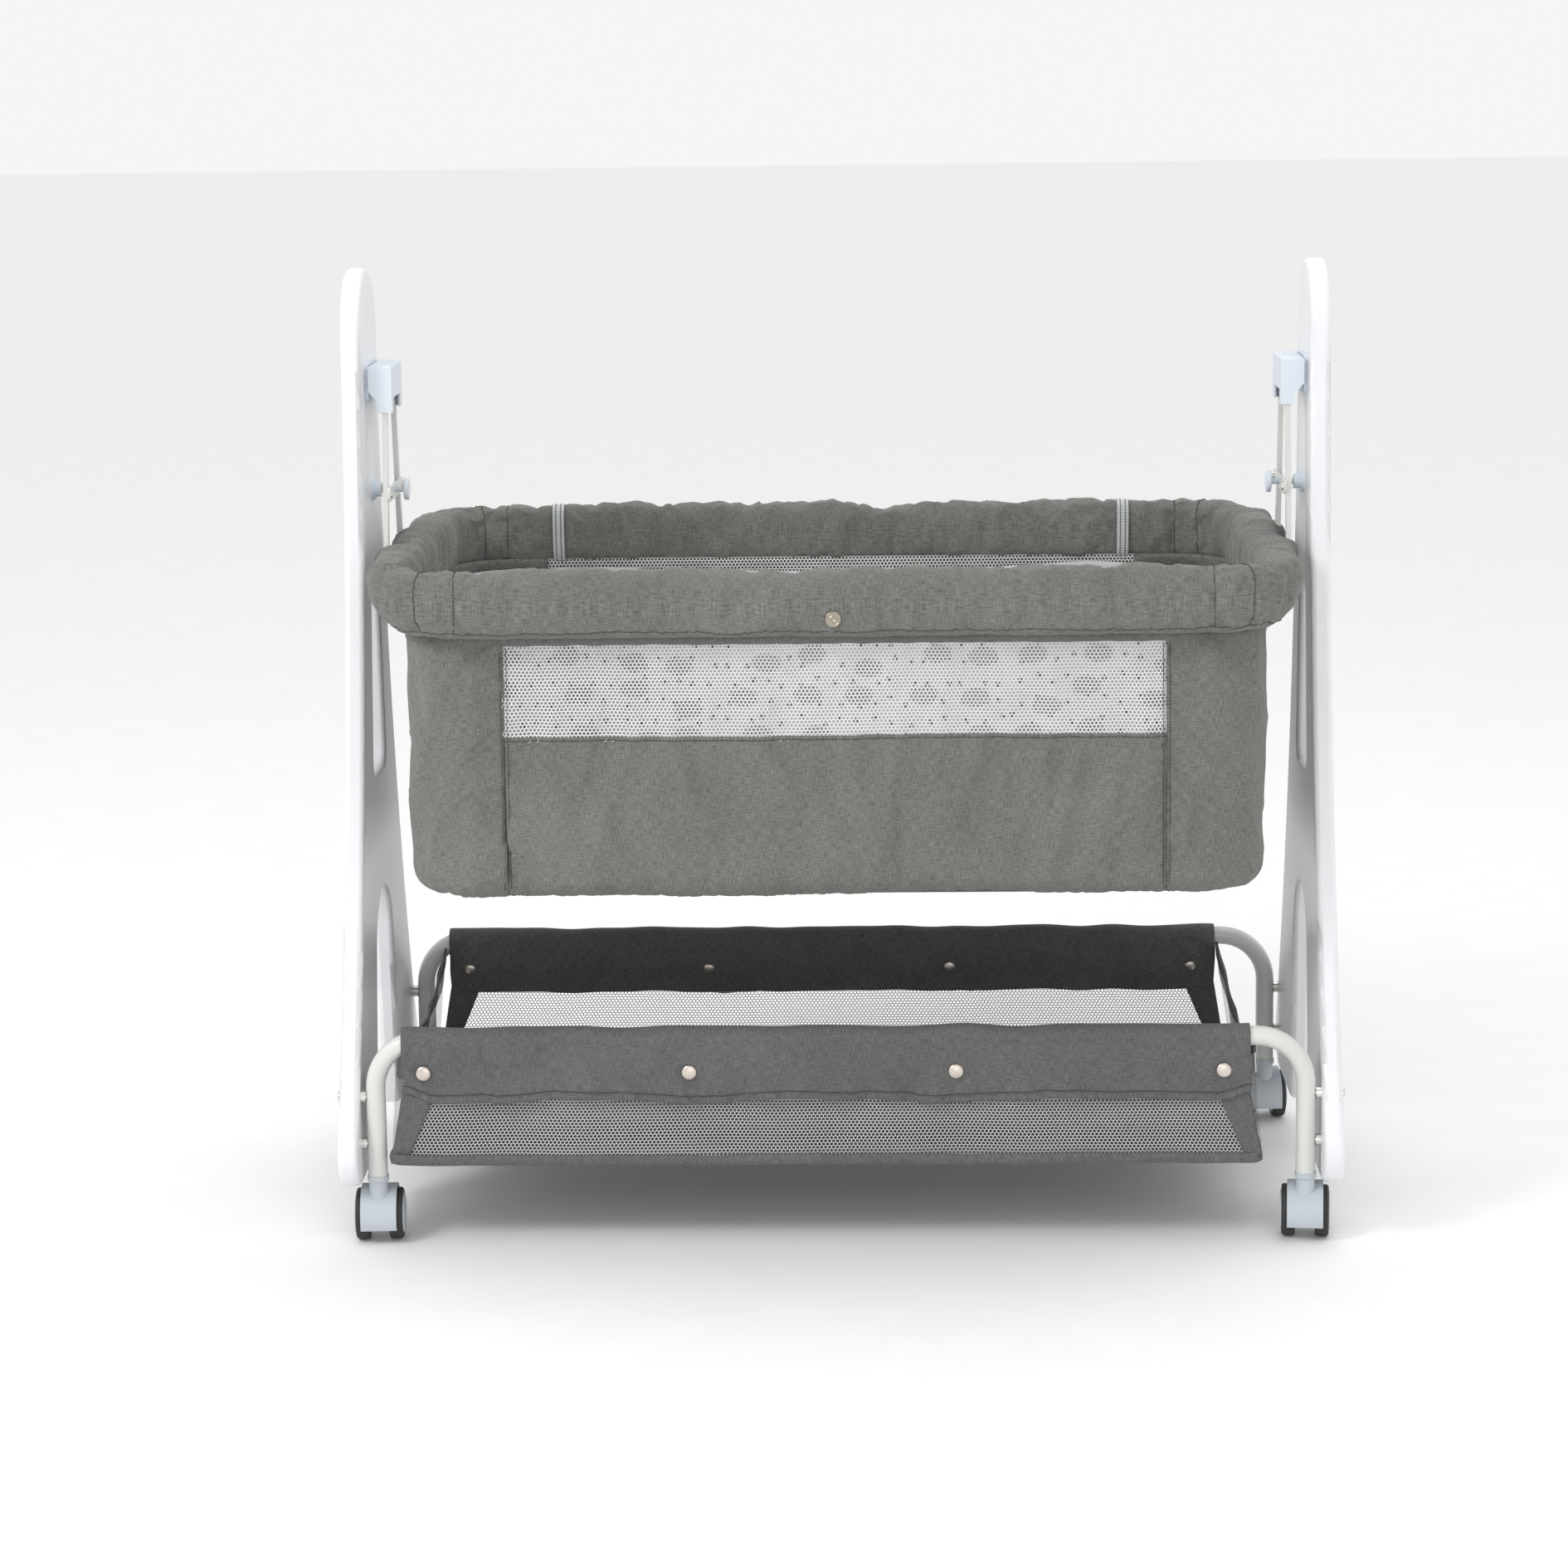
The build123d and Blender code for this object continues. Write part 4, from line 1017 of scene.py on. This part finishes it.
    def walls(self) -> None:
        """Front, rear and both end cuts."""
        x, length = self.seam_x, self.plan.length
        top = -self.rise_into_sleeve
        foot = self.top_z - self.floor_z - self.floor_round + self.floor_round * np.pi / 2 + 4 * MM
        under_net = self.top_z - self.window[0]
        self.sheet("front_panel_cloth", (-x, x), (under_net, foot), "front_panel")
        self.sheet("rear_panel_cloth", (length / 2 - x, length / 2 + x), (under_net, foot), "rear_panel")
        self.sheet("end_wrap_right_cloth", (x, length / 2 - x), (top, foot), "end_wrap_right")
        self.sheet("end_wrap_left_cloth", (length / 2 + x, length - x), (top, foot), "end_wrap_left")

    def binding(self) -> None:
        """Folded binding band under the sleeve."""
        s = np.linspace(0, self.plan.length, 901)[:-1]
        lift = np.array([7.0, 0.5, -1.0, -self.binding_drop * 1000 + 1, -self.binding_drop * 1000]) * MM
        out = np.array([0.3, 1.2, 1.9, 1.8, 0.2]) * MM
        grid_s, grid_out = np.meshgrid(s, out, indexing="ij")
        _, grid_lift = np.meshgrid(s, lift, indexing="ij")
        point, normal = self.plan.walk(grid_s)
        ripple = 0.5 * MM * swell(grid_s, grid_lift, 43, 0.03)
        plan = point + normal * (grid_out + ripple)[..., None]
        points = np.concatenate([plan, (self.top_z + grid_lift + ripple)[..., None]], -1)
        u = np.linspace(0, self.plan.length, 901)
        band = grid_piece("rim_binding_band", points, u, lift, (True, False), flip=False)
        self.finishes.dress(band, self.finishes.binding, "grey_cloth")
        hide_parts("rim_binding")
        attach(band, "bassinet")

    def floor(self) -> None:
        """Floor cloth under the board, sagging slightly between its seams."""
        rows = np.linspace(0, 1, 40)
        s = np.linspace(0, self.plan.length, 401)[:-1]
        grid_s, grid_r = np.meshgrid(s, rows, indexing="ij")
        point, normal = self.plan.walk(grid_s)
        edge = point - normal * self.floor_round
        plan = edge * (1 - 0.999 * grid_r[..., None])
        z = self.floor_z + 1.0 * MM + 0.9 * MM * swell(plan[..., 0], plan[..., 1], 45, 0.11) * grid_r
        points = np.concatenate([plan, z[..., None]], -1)
        u = np.linspace(0, self.plan.length, 401)
        piece = grid_piece("body_floor_cloth", points, u, rows * 0.24, (True, False), flip=False)
        solidify(piece, 1.8 * MM)
        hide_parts("body_floor")
        self.finishes.dress(piece, self.finishes.body_cloth, "grey_cloth")
        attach(piece, "bassinet")

    def net(self, face: Face) -> bpy.types.Object:
        """Open hexagonal net in one long side's window.

        Args:
            face: front or rear.

        Returns:
            The net.
        """
        drop0, drop1 = -5 * MM, self.top_z - self.window[0] + 3 * MM
        size = (2 * self.seam_x, drop1 - drop0)
        flat, quads = honeycomb(lambda s, t: np.abs(s) < size[0], size, self.net_pitch, self.net_hole)
        start = 0.0 if face is Face.FRONT else self.plan.length / 2
        surface = self.wall(start + flat[:, 0], drop1 - flat[:, 1], 0.7)
        surface[:, 1] -= face.value * 1.2 * MM
        net = put_mesh(f"net_window_{face.name.lower()}", surface, quads)
        self.finishes.dress(net, self.finishes.net, "white_net")
        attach(net, "bassinet")
        return net

    def liner(self) -> None:
        """Printed liner: high behind the rear net and the ends, low under the front net."""
        inset = self.liner_inset
        plan = Loop(self.plan.half_x - inset, self.plan.half_y - inset, self.plan.corner - inset)
        s = np.linspace(0, plan.length, 701)[:-1]
        rows = np.linspace(0, 1, 50)
        grid_s, grid_r = np.meshgrid(s, rows, indexing="ij")
        point, normal = plan.walk(grid_s)
        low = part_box("mattress")[0].z + 4 * MM
        rear = smooth((point[..., 1] + 0.235) / 0.08)
        sag = 5 * MM * np.cos(point[..., 0] * np.pi / 0.56) ** 2
        sag = sag + 2 * MM * swell(grid_s, grid_s * 0, 47, 0.16)
        high = (self.window[0] - 2 * MM) * (1 - rear) + (self.window[1] + 6 * MM - sag) * rear
        z = low + (high - low) * grid_r
        out = 1.3 * MM * swell(grid_s, z, 49, 0.07) + 0.6 * MM * swell(grid_s, z * 0.5, 51, 0.025)
        taper = 4.5 * MM * (1 - grid_r) * np.abs(normal[..., 0])
        xy = point + normal * (out - 1.5 * MM - taper)[..., None]
        points = np.concatenate([xy, z[..., None]], -1)
        u = np.linspace(0, plan.length, 701)
        piece = grid_piece("liner_cloth", points, u, rows * 0.21, (True, False), flip=True)
        solidify(piece, 1.2 * MM, 0.0)
        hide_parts("liner")
        self.finishes.dress(piece, self.finishes.print, "white_cloth")
        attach(piece, "bassinet")

    def mattress(self) -> None:
        """Flat foam mattress with a rounded, slightly crowned top."""
        low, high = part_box("mattress")
        plan = Loop(high.x - 11 * MM, high.y - 8 * MM, 0.056)
        inward = np.r_[236, 60, 3, 0, 0, 0, 2, 9, 20, 45, 90, 150, 200, 236] * MM
        lift = np.r_[0, 0, 0, 1, 14, 24, 28.5, 29.6, 30, 30.6, 31, 31, 31, 31] * MM
        pad = cushion("mattress_cover", plan, low.z, inward, lift, 0.5 * MM)
        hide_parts("mattress")
        self.finishes.dress(pad, self.finishes.cotton, "white_cloth")
        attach(pad, "bassinet")

    def board(self) -> None:
        """Stiff board under the mattress, inside the rounded foot of the walls."""
        low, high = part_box("floor_board")
        plan = Loop(high.x - 22 * MM, high.y - 18 * MM, 0.05)
        inward = np.r_[220, 60, 1, 0, 0, 1, 60, 220] * MM
        lift = np.r_[0, 0, 0, 0.6, 3.4, 4, 4, 4] * MM
        slab = cushion("floor_board_sheet", plan, low.z, inward, lift, 0.0)
        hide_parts("floor_board")
        self.finishes.dress(slab, self.finishes.board, "board")
        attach(slab, "bassinet")

    def zip_tape(self, side: Side) -> bpy.types.Object:
        """One zip down the rear side, from the binding to the floor.

        Args:
            side: left or right zip.

        Returns:
            The piece.
        """
        across = np.linspace(-10, 10, 21) * MM
        s = self.plan.length / 2 - side.value * self.zip_x + across
        foot = self.top_z - self.floor_z - 16 * MM
        drop = np.linspace(9 * MM, foot, 120)
        grid_s, grid_d = np.meshgrid(s, drop, indexing="ij")
        chain = smooth((5.0 * MM - np.abs(across)) / (1.5 * MM))[:, None]
        points = self.wall(grid_s, grid_d)
        points[..., 1] += 1.6 * MM + 1.4 * MM * chain
        tape = grid_piece(f"zip_tape_{side.name.lower()}", points, across, drop, flip=True)
        solidify(tape, 1.2 * MM)
        self.finishes.dress(tape, self.finishes.zip, "zip_grey")
        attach(tape, "bassinet")
        return tape

    def seams(self) -> None:
        """Two rows of thread beside every upright seam and one under each window."""
        length = self.plan.length
        under_net = self.top_z - self.window[0]
        foot = self.top_z - self.floor_z - 8 * MM
        rows = []
        for face in Face:
            start = 0.0 if face is Face.FRONT else length / 2
            for side in Side:
                for step in (-3, 3):
                    d = np.linspace(12 * MM, foot, 400)
                    name = f"body_seam_{face.name.lower()}_{side.name.lower()}_{'in' if step < 0 else 'out'}"
                    rows.append((name, start + side.value * (self.seam_x + step * MM) + d * 0, d))
            s = start + np.linspace(-self.seam_x, self.seam_x, 700)
            rows.append((f"window_hem_{face.name.lower()}", s, s * 0 + under_net + 3.2 * MM))
        for name, s, d in rows:
            _, normal = self.plan.walk(s)
            out = np.c_[normal, np.zeros(len(s))]
            row = stitches(name, self.wall(s, d) + out * 0.45 * MM, out)
            self.finishes.dress(row, self.finishes.thread, "grey_cloth")
            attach(row, "bassinet")

    def build(self) -> None:
        """Makes the body's pieces."""
        self.walls()
        self.binding()
        self.floor()
        self.liner()
        self.mattress()
        self.board()
        self.seams()
        tapes = [self.zip_tape(side) for side in Side]
        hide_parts("zipper_tapes")
        nets = [self.net(face) for face in Face]
        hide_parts("mesh_windows")


# ---- storage basket -----------------------------------------------------
@dataclass
class StorageBasket:
    """Cloth bands over the base tubes, net walls, end walls, hems and floor."""

    finishes: Finishes
    band_cloth: float = 1.6 * MM
    tube_radius: float = 9.5 * MM
    fold_radius: float = 11.9 * MM
    snap_pitch: float = 0.259
    wall_height: float = 0.075
    strip_lean: float = 0.018
    net_pitch: float = 3.8 * MM
    net_hole: float = 0.78
    net_below_crest: float = 0.030

    def __post_init__(self) -> None:
        """Reads the basket's sizes from the frame."""
        low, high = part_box("basket_band_front")
        self.x0, self.x1 = low.x, high.x
        self.band_foot = low.z - 6 * MM
        tube_low, tube_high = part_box("base_tube_rear")
        self.tube_y = (tube_low.y + tube_high.y) / 2
        self.tube_z = tube_high.z - self.tube_radius
        self.floor_low, self.floor_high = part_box("basket_floor")

    def band(self, face: Face) -> None:
        """One band: flap outside, over the tube, and down inside to the net.

        Formula: down the outer flap, half round the tube, and down the inner side;
        the flap's foot is rounded at its ends and hangs in long waves between snaps.

        Args:
            face: front or rear.
        """
        radius = self.fold_radius
        x = np.linspace(self.x0, self.x1, 260)
        down = self.tube_z - self.band_foot
        t = np.linspace(0, 1, 60)
        grid_x, grid_t = np.meshgrid(x, t, indexing="ij")
        arc = np.pi * radius
        total = 2 * down + arc
        d = grid_t * total
        angle = np.clip((d - down) / radius, 0, np.pi)
        outer = np.clip((down - d) / down, 0, 1)
        inner = np.clip((d - down - arc) / down, 0, 1)
        end = smooth(1 - np.minimum(grid_x - self.x0, self.x1 - grid_x) / 0.045)
        place = (grid_x - (self.x0 + self.x1) / 2 + 0.002) / self.snap_pitch
        between = np.cos(place * 2 * np.pi)
        foot = self.band_foot + 9 * MM * end ** 2 + 1.6 * MM * between + 1.0 * MM * swell(
            grid_x, grid_x * 0, 61 + face.value, 0.11)
        out = radius * np.cos(angle)
        z = self.tube_z + radius * np.sin(angle) - outer * (self.tube_z - foot)
        z = z - inner * down
        out = out + inner * 15 * MM * smooth(inner * 1.3)
        loose = outer * (1.5 * MM * between * bell(outer - 1, 0.5) + 1.2 * MM)
        folds = swell(grid_x, grid_t * 0.12, 63 + face.value, 0.06) * 0.9
        folds += swell(grid_x * 0.9 + grid_t * 0.05, grid_t * 0.1, 65, 0.024) * 0.35
        folds += 1.5 * (0.7 - np.abs(swell(grid_x + 0.10 * grid_t, grid_t * 0.12, 69, 0.055)))
        off_tube = np.abs(angle - np.pi / 2) > 1.2
        out = out + loose + folds * MM * (0.25 + 1.3 * outer - 0.2 * inner) * off_tube
        z = z + 0.8 * MM * swell(grid_x, grid_x * 0, 67 + face.value, 0.08) * (outer < 0.5)
        hem = bell(grid_t * total - 0.006, 1.2 * MM) * (outer > 0.5)
        out = out - 0.8 * MM * hem
        points = np.stack([grid_x, face.value * (self.tube_y + out), z], -1)
        name = f"basket_band_{face.name.lower()}"
        piece = grid_piece(f"{name}_cloth", points, x, t * total, flip=face is Face.REAR)
        held = np.clip(((angle > 0) & (angle < np.pi)) + (inner > 0.85), 0, 1).astype(float)
        settle(piece, held.ravel(), 0.035, 2.2 * MM)
        solidify(piece, self.band_cloth)
        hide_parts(name)
        self.finishes.dress(piece, self.finishes.basket_cloth, "basket_cloth")
        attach(piece, "stand")
        edge = grid_points(piece, grid_x.shape)[:, 3] + np.array([0, face.value * 0.5 * MM, 0])
        row = stitches(f"{name}_stitching", edge, np.tile([0.0, face.value, 0.0], (len(edge), 1)))
        self.finishes.dress(row, self.finishes.thread, "basket_cloth")
        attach(row, "stand")

    def wall_point(self, x: Array, t: Array, face: Face) -> Array:
        """Points of the sloping net wall; t runs from 0 at the floor to 1 at the band.

        Formula: a straight slope from floor to band, hollowed a little between them,
        spread towards the floor and slightly wavy.

        Args:
            x: place along the basket at the band, in metres.
            t: 0 at the floor, 1 at the band.
            face: front or rear.

        Returns:
            Points with a last axis of 3.
        """
        foot_y, top_y = self.floor_high.y - 4 * MM, self.tube_y + 5.5 * MM
        foot_z, top_z = self.floor_high.z, self.band_foot + 12 * MM
        spread = 1 + 0.028 * (1 - t)
        middle = (self.x0 + self.x1) / 2
        y = foot_y + (top_y - foot_y) * t + 1.8 * MM * swell(x, t * 0.06, 71, 0.14)
        y = y - 2.5 * MM * np.sin(np.pi * t)
        z = foot_z + (top_z - foot_z) * t
        return np.stack([middle + (x - middle) * spread, face.value * y, z], -1)

    def wall(self, face: Face) -> bpy.types.Object:
        """Net wall with solid cloth strips at both ends.

        Args:
            face: front or rear.

        Returns:
            The net.
        """
        height = self.wall_height
        half = (self.x1 - self.x0) / 2
        middle = (self.x0 + self.x1) / 2
        edge = half - 0.014
        flat, quads = honeycomb(
            lambda s, t: np.abs(s) < edge - self.strip_lean * t / height, (2 * half, height),
            self.net_pitch, self.net_hole)
        net = put_mesh(f"basket_net_{face.name.lower()}",
                       self.wall_point(middle + flat[:, 0], flat[:, 1] / height, face), quads)
        self.finishes.dress(net, self.finishes.basket_net, "white_net")
        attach(net, "stand")
        for side in Side:
            t = np.linspace(0, 1, 24)
            w = np.linspace(0, 1, 8)
            grid_w, grid_t = np.meshgrid(w, t, indexing="ij")
            inner_x = edge - 0.002 - self.strip_lean * grid_t
            x = middle + side.value * (half + (inner_x - half) * grid_w)
            points = self.wall_point(x, grid_t, face) + np.array([0, face.value * 1.2 * MM, 0])
            flip = (side is Side.LEFT) == (face is Face.FRONT)
            name = f"basket_strip_{face.name.lower()}_{side.name.lower()}"
            strip = grid_piece(name, points, w * 0.03, t * height, flip=not flip)
            solidify(strip, 1.5 * MM)
            self.finishes.dress(strip, self.finishes.basket_cloth, "basket_cloth")
            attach(strip, "stand")
        return net

    def floor(self) -> None:
        """Basket floor with slow waves, and the binding along its edge."""
        low, high = self.floor_low, self.floor_high
        x = np.linspace(low.x, high.x, 170)
        y = np.linspace(low.y, high.y, 90)
        grid_x, grid_y = np.meshgrid(x, y, indexing="ij")
        wave = swell(grid_x, grid_y, 73, 0.2) * 1.5 + swell(grid_x, grid_y, 75, 0.07) * 0.5
        z = (low.z + high.z) / 2 + wave * MM
        piece = grid_piece("basket_floor_cloth", np.stack([grid_x, grid_y, z], -1), x, y)
        solidify(piece, 2.5 * MM, 0.0)
        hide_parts("basket_floor")
        self.finishes.dress(piece, self.finishes.basket_cloth, "basket_cloth")
        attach(piece, "stand")
        plan = Loop((high.x - low.x) / 2, high.y, 0.012)
        s = np.linspace(0, plan.length, 801)[:-1]
        turn = np.linspace(0, 2 * np.pi, 13)[:-1]
        grid_s, grid_turn = np.meshgrid(s, turn, indexing="ij")
        point, normal = plan.walk(grid_s)
        middle_x = (low.x + high.x) / 2
        lean = 0.9 * MM * swell(grid_s, grid_s * 0, 77, 0.09)
        xy = point + normal * (2.0 * MM * np.cos(grid_turn) + lean)[..., None]
        xy[..., 0] += middle_x
        z = (low.z + high.z) / 2 + 0.6 * MM + 5.2 * MM * np.sin(grid_turn) + lean
        u, v = np.linspace(0, plan.length, 801), np.linspace(0, 0.03, 13)
        points = np.concatenate([xy, z[..., None]], -1)
        roll = grid_piece("basket_floor_binding", points, u, v, (True, True), flip=True)
        self.finishes.dress(roll, self.finishes.basket_cloth, "basket_cloth")
        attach(roll, "stand")

    def end_wall(self, side: Side) -> bpy.types.Object:
        """End wall: net, white tape above it, and a dark hem that sags between the tubes.

        Args:
            side: left or right end.

        Returns:
            The net.
        """
        x = self.x0 - 4 * MM if side is Side.LEFT else self.x1 + 4 * MM
        half = self.tube_y - 7 * MM
        foot = self.floor_high.z

        def crest(y: Array) -> Array:
            """Height of the hem: a shallow parabola that hangs between the tubes."""
            return 0.198 - 0.036 * (1 - (y / half) ** 2) + 1.2 * MM * swell(y, y * 0, 81, 0.07)

        def sheet_point(y: Array, z: Array) -> Array:
            """Points of the end sheet, leaning out towards the floor.

            Args:
                y: place across the basket, in metres.
                z: height in metres.

            Returns:
                Points with a last axis of 3.
            """
            lean = side.value * 11 * MM * (1 - (z - foot) / 0.11)
            wave = 1.4 * MM * swell(y, z * 0.4, 83 + side.value, 0.07)
            return np.stack([x + lean + wave, y, z], -1)

        flat, quads = honeycomb(
            lambda s, t: (np.abs(s) < half) & (foot + t < crest(s) - self.net_below_crest), (2 * half, 0.1),
            self.net_pitch, self.net_hole)
        points = sheet_point(flat[:, 0], foot + flat[:, 1])
        net = put_mesh(f"basket_end_net_{side.name.lower()}", points, quads)
        self.finishes.dress(net, self.finishes.basket_net, "white_net")
        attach(net, "stand")
        y = np.linspace(-half, half, 120)
        for name, low, high, cloth, slot in (
            ("tape", 0.034, 0.012, self.finishes.cotton, "white_cloth"),
            ("hem", 0.014, 0.0, self.finishes.basket_cloth, "basket_cloth"),
        ):
            t = np.linspace(0, 1, 9)
            grid_y, grid_t = np.meshgrid(y, t, indexing="ij")
            z = crest(grid_y) - low + (low - high) * grid_t
            points = sheet_point(grid_y, z)
            points[..., 0] += side.value * (1.5 * MM if name == "hem" else 0.8 * MM)
            band = grid_piece(f"basket_end_{name}_{side.name.lower()}", points, y, t * (low - high),
                              flip=side is Side.LEFT)
            solidify(band, 3.0 * MM if name == "hem" else 1.2 * MM)
            self.finishes.dress(band, cloth, slot)
            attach(band, "stand")
        return net

    def build(self) -> None:
        """Makes the basket's pieces."""
        for face in Face:
            self.band(face)
        nets = [self.wall(face) for face in Face]
        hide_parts("basket_nets", "basket_corner_strips")
        self.floor()
        ends = [self.end_wall(side) for side in Side]
        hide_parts("basket_end_walls")


# ---- metal and wheels ---------------------------------------------------
@dataclass
class SnapCaps:
    """Turned snap caps: a domed cap with a rolled edge, spun from a profile."""

    finishes: Finishes
    radius: float = 7.4 * MM
    ring_radius: float = 7.6 * MM
    back_y: float = 0.1985

    def spin(self, name: str, centre: Vector, face: float, profile: Array) -> bpy.types.Object:
        """Spins a profile (radius, height) about Y.

        Args:
            name: the piece's name.
            centre: middle of the cap's foot.
            face: -1 to look towards the front, 1 towards the rear.
            profile: radius and height pairs from the middle outwards.

        Returns:
            The piece.
        """
        turn = np.linspace(0, 2 * np.pi, 41)[:-1]
        grid_turn, grid_r = np.meshgrid(turn, profile[:, 0], indexing="ij")
        _, grid_h = np.meshgrid(turn, profile[:, 1], indexing="ij")
        points = np.stack([
            centre.x + grid_r * np.cos(grid_turn),
            centre.y + face * grid_h,
            centre.z + grid_r * np.sin(grid_turn),
        ], -1)
        u, v = np.linspace(0, 0.04, 41), np.linspace(0, 0.01, len(profile))
        return grid_piece(name, points, u, v, (True, False), flip=face > 0)

    def build(self) -> None:
        """Caps on both basket bands and the ring snap on the rim."""
        low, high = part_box("basket_snaps")
        r = self.radius
        cap = np.array([(0.02, 2.6), (0.35, 2.5), (0.7, 2.1), (0.92, 1.4), (1.0, 0.6), (0.97, -0.4)])
        profile = cap * np.array([r, MM])
        for face in Face:
            y = (low.y if face is Face.FRONT else high.y) - face.value * 1.2 * MM
            for k, x in enumerate(np.linspace(low.x + 7 * MM, high.x - 7 * MM, 4)):
                middle = Vector((float(x), y, (low.z + high.z) / 2))
                name = f"snap_{face.name.lower()}_{k}"
                snap = self.spin(name, middle, face.value, profile)
                self.finishes.dress(snap, self.finishes.snap, "bright_steel")
                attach(snap, "stand")
                inside = Vector((middle.x, face.value * self.back_y, middle.z))
                back = self.spin(f"{name}_back", inside, -face.value, profile * np.array([0.8, 0.9]))
                self.finishes.dress(back, self.finishes.snap, "bright_steel")
                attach(back, "stand")
                if k == 0 and face is Face.FRONT:
                    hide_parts("basket_snaps")
        low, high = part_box("rim_snap")
        ring = np.array([(0.02, 0.2), (0.22, 0.2), (0.3, 1.4), (0.42, 1.4), (0.5, 0.3), (0.72, 0.3),
                         (0.82, 1.5), (0.96, 1.3), (1.0, 0.2), (0.98, -1.0)])
        middle = Vector(((low.x + high.x) / 2, low.y - 0.3 * MM, (low.z + high.z) / 2))
        socket = self.spin("rim_snap_ring", middle, -1, ring * np.array([self.ring_radius, MM]))
        self.finishes.dress(socket, self.finishes.ring, "bright_steel")
        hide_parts("rim_snap")
        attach(socket, "bassinet")


@dataclass
class HubCaps:
    """Dished hub caps on the outer faces of the caster wheels."""

    finishes: Finishes
    wheel_face: float = 23.0 * MM

    def build(self, frame: dict) -> None:
        """Two caps for each caster, spun about its axle.
        """
        rings = np.array([(0.4, 1.0), (5, 1.2), (6, 0.5), (13, 0.3), (15, 1.4), (18.2, 1.3), (19.2, 0.2),
                          (19.2, -1.0)]) * MM
        for joint in frame["joints"]:
            if not joint["name"].startswith("roll_"):
                continue
            axis = np.array(joint["axis"], float)
            centre = np.array(joint["pos_m"], float)
            across = np.cross(axis, (0, 0, 1.0))
            turn = np.linspace(0, 2 * np.pi, 49)[:-1]
            for side in Side:
                grid_turn, grid_r = np.meshgrid(turn, rings[:, 0], indexing="ij")
                _, grid_h = np.meshgrid(turn, rings[:, 1], indexing="ij")
                points = (
                    centre + side.value * (self.wheel_face + grid_h)[..., None] * axis
                    + (grid_r * np.cos(grid_turn))[..., None] * across
                    + (grid_r * np.sin(grid_turn))[..., None] * np.array([0, 0, 1.0])
                )
                name = f"hub_cap_{joint['name'][5:]}_{side.name.lower()}"
                u, v = np.linspace(0, 0.1, 49), np.linspace(0, 0.02, len(rings))
                cap = grid_piece(name, points, u, v, (True, False), flip=side is Side.RIGHT)
                self.finishes.dress(cap, self.finishes.caster, "caster_plastic")
                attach(cap, joint["child"])


# ---- studio -------------------------------------------------------------
@dataclass(frozen=True)
class Studio:
    """Pale floor, soft lights and the camera."""

    position: tuple[float, float, float] = (0.0583, -3.789, 1.1713)
    pitch: float = 0.1476
    yaw: float = -0.0296
    roll: float = -0.0126
    lens: float = 87.07
    drop: float = -0.12
    floor_half: float = 30.0
    sky: float = 0.92
    lamps: tuple[tuple[str, tuple[float, float, float], float, float], ...] = (
        ("key", (-2.4, -2.0, 2.6), 1.0, 42),
        ("low", (0.3, -3.4, 0.9), 1.8, 10),
        ("top", (0.9, 0.3, 3.2), 1.4, 16),
    )

    def camera(self) -> None:
        """Camera in front of the bassinet, looking slightly down."""
        data = bpy.data.cameras.new("camera")
        data.lens = self.lens
        data.sensor_width = 36
        data.shift_y = self.drop
        cos_p, sin_p = np.cos(self.pitch), np.sin(self.pitch)
        ahead = np.array([np.sin(self.yaw) * cos_p, np.cos(self.yaw) * cos_p, -sin_p])
        right = np.array([np.cos(self.yaw), -np.sin(self.yaw), 0])
        up = np.cross(right, ahead)
        c, s = np.cos(self.roll), np.sin(self.roll)
        columns = np.stack([right * c + up * s, up * c - right * s, -ahead], 1)
        camera = bpy.data.objects.new("camera", data)
        camera.matrix_world = Matrix.Translation(self.position) @ Matrix(columns.tolist()).to_4x4()
        bpy.context.scene.collection.objects.link(camera)
        bpy.context.scene.camera = camera

    def lamp(self, name: str, place: Sequence[float], size: float, power: float) -> None:
        """Square soft light aimed at the bassinet's middle.

        Args:
            name: the lamp's name.
            place: where it hangs, in metres.
            size: side of the square in metres.
            power: watts.
        """
        data = bpy.data.lights.new(name, "AREA")
        data.size = size
        data.energy = power
        lamp = bpy.data.objects.new(name, data)
        lamp.location = place
        lamp.rotation_euler = (Vector((0, 0, 0.5)) - Vector(place)).to_track_quat("-Z", "Y").to_euler()
        bpy.context.scene.collection.objects.link(lamp)

    def build(self) -> None:
        """Floor, world, lights and camera."""
        x = np.linspace(-self.floor_half, self.floor_half, 3)
        grid_x, grid_y = np.meshgrid(x, x, indexing="ij")
        floor = grid_piece("studio_floor", np.stack([grid_x, grid_y, grid_x * 0 - 0.2 * MM], -1), x, x)
        paint = Coating("floor_paint", (0.92, 0.92, 0.92), 0.8, 4 * MM, 0.05 * MM, 0.01)
        floor.data.materials.append(paint.make())
        world = bpy.data.worlds.new("soft_white")
        world.use_nodes = True
        world.node_tree.nodes["Background"].inputs[0].default_value = (1, 1, 1, 1)
        world.node_tree.nodes["Background"].inputs[1].default_value = self.sky
        bpy.context.scene.world = world
        for name, place, size, power in self.lamps:
            self.lamp(name, place, size, power)
        bpy.context.scene.view_settings.view_transform = "Standard"
        self.camera()


def main() -> None:
    """Builds the bassinet's looks in order."""
    logging.basicConfig(level=logging.INFO, format="%(name)s: %(message)s")
    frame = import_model()
    finishes = Finishes()
    finishes.dress_nodes(frame["nodes"])
    Studio().build()
    log.info("studio and finishes ready")
    PaddedRim(finishes).build()
    log.info("padded rim ready")
    ClothBody(finishes).build()
    log.info("cloth body ready")
    StorageBasket(finishes).build()
    log.info("basket ready")
    SnapCaps(finishes).build()
    HubCaps(finishes).build(frame)
    log.info("snaps and hub caps ready")


if __name__ == "__main__":
    main()
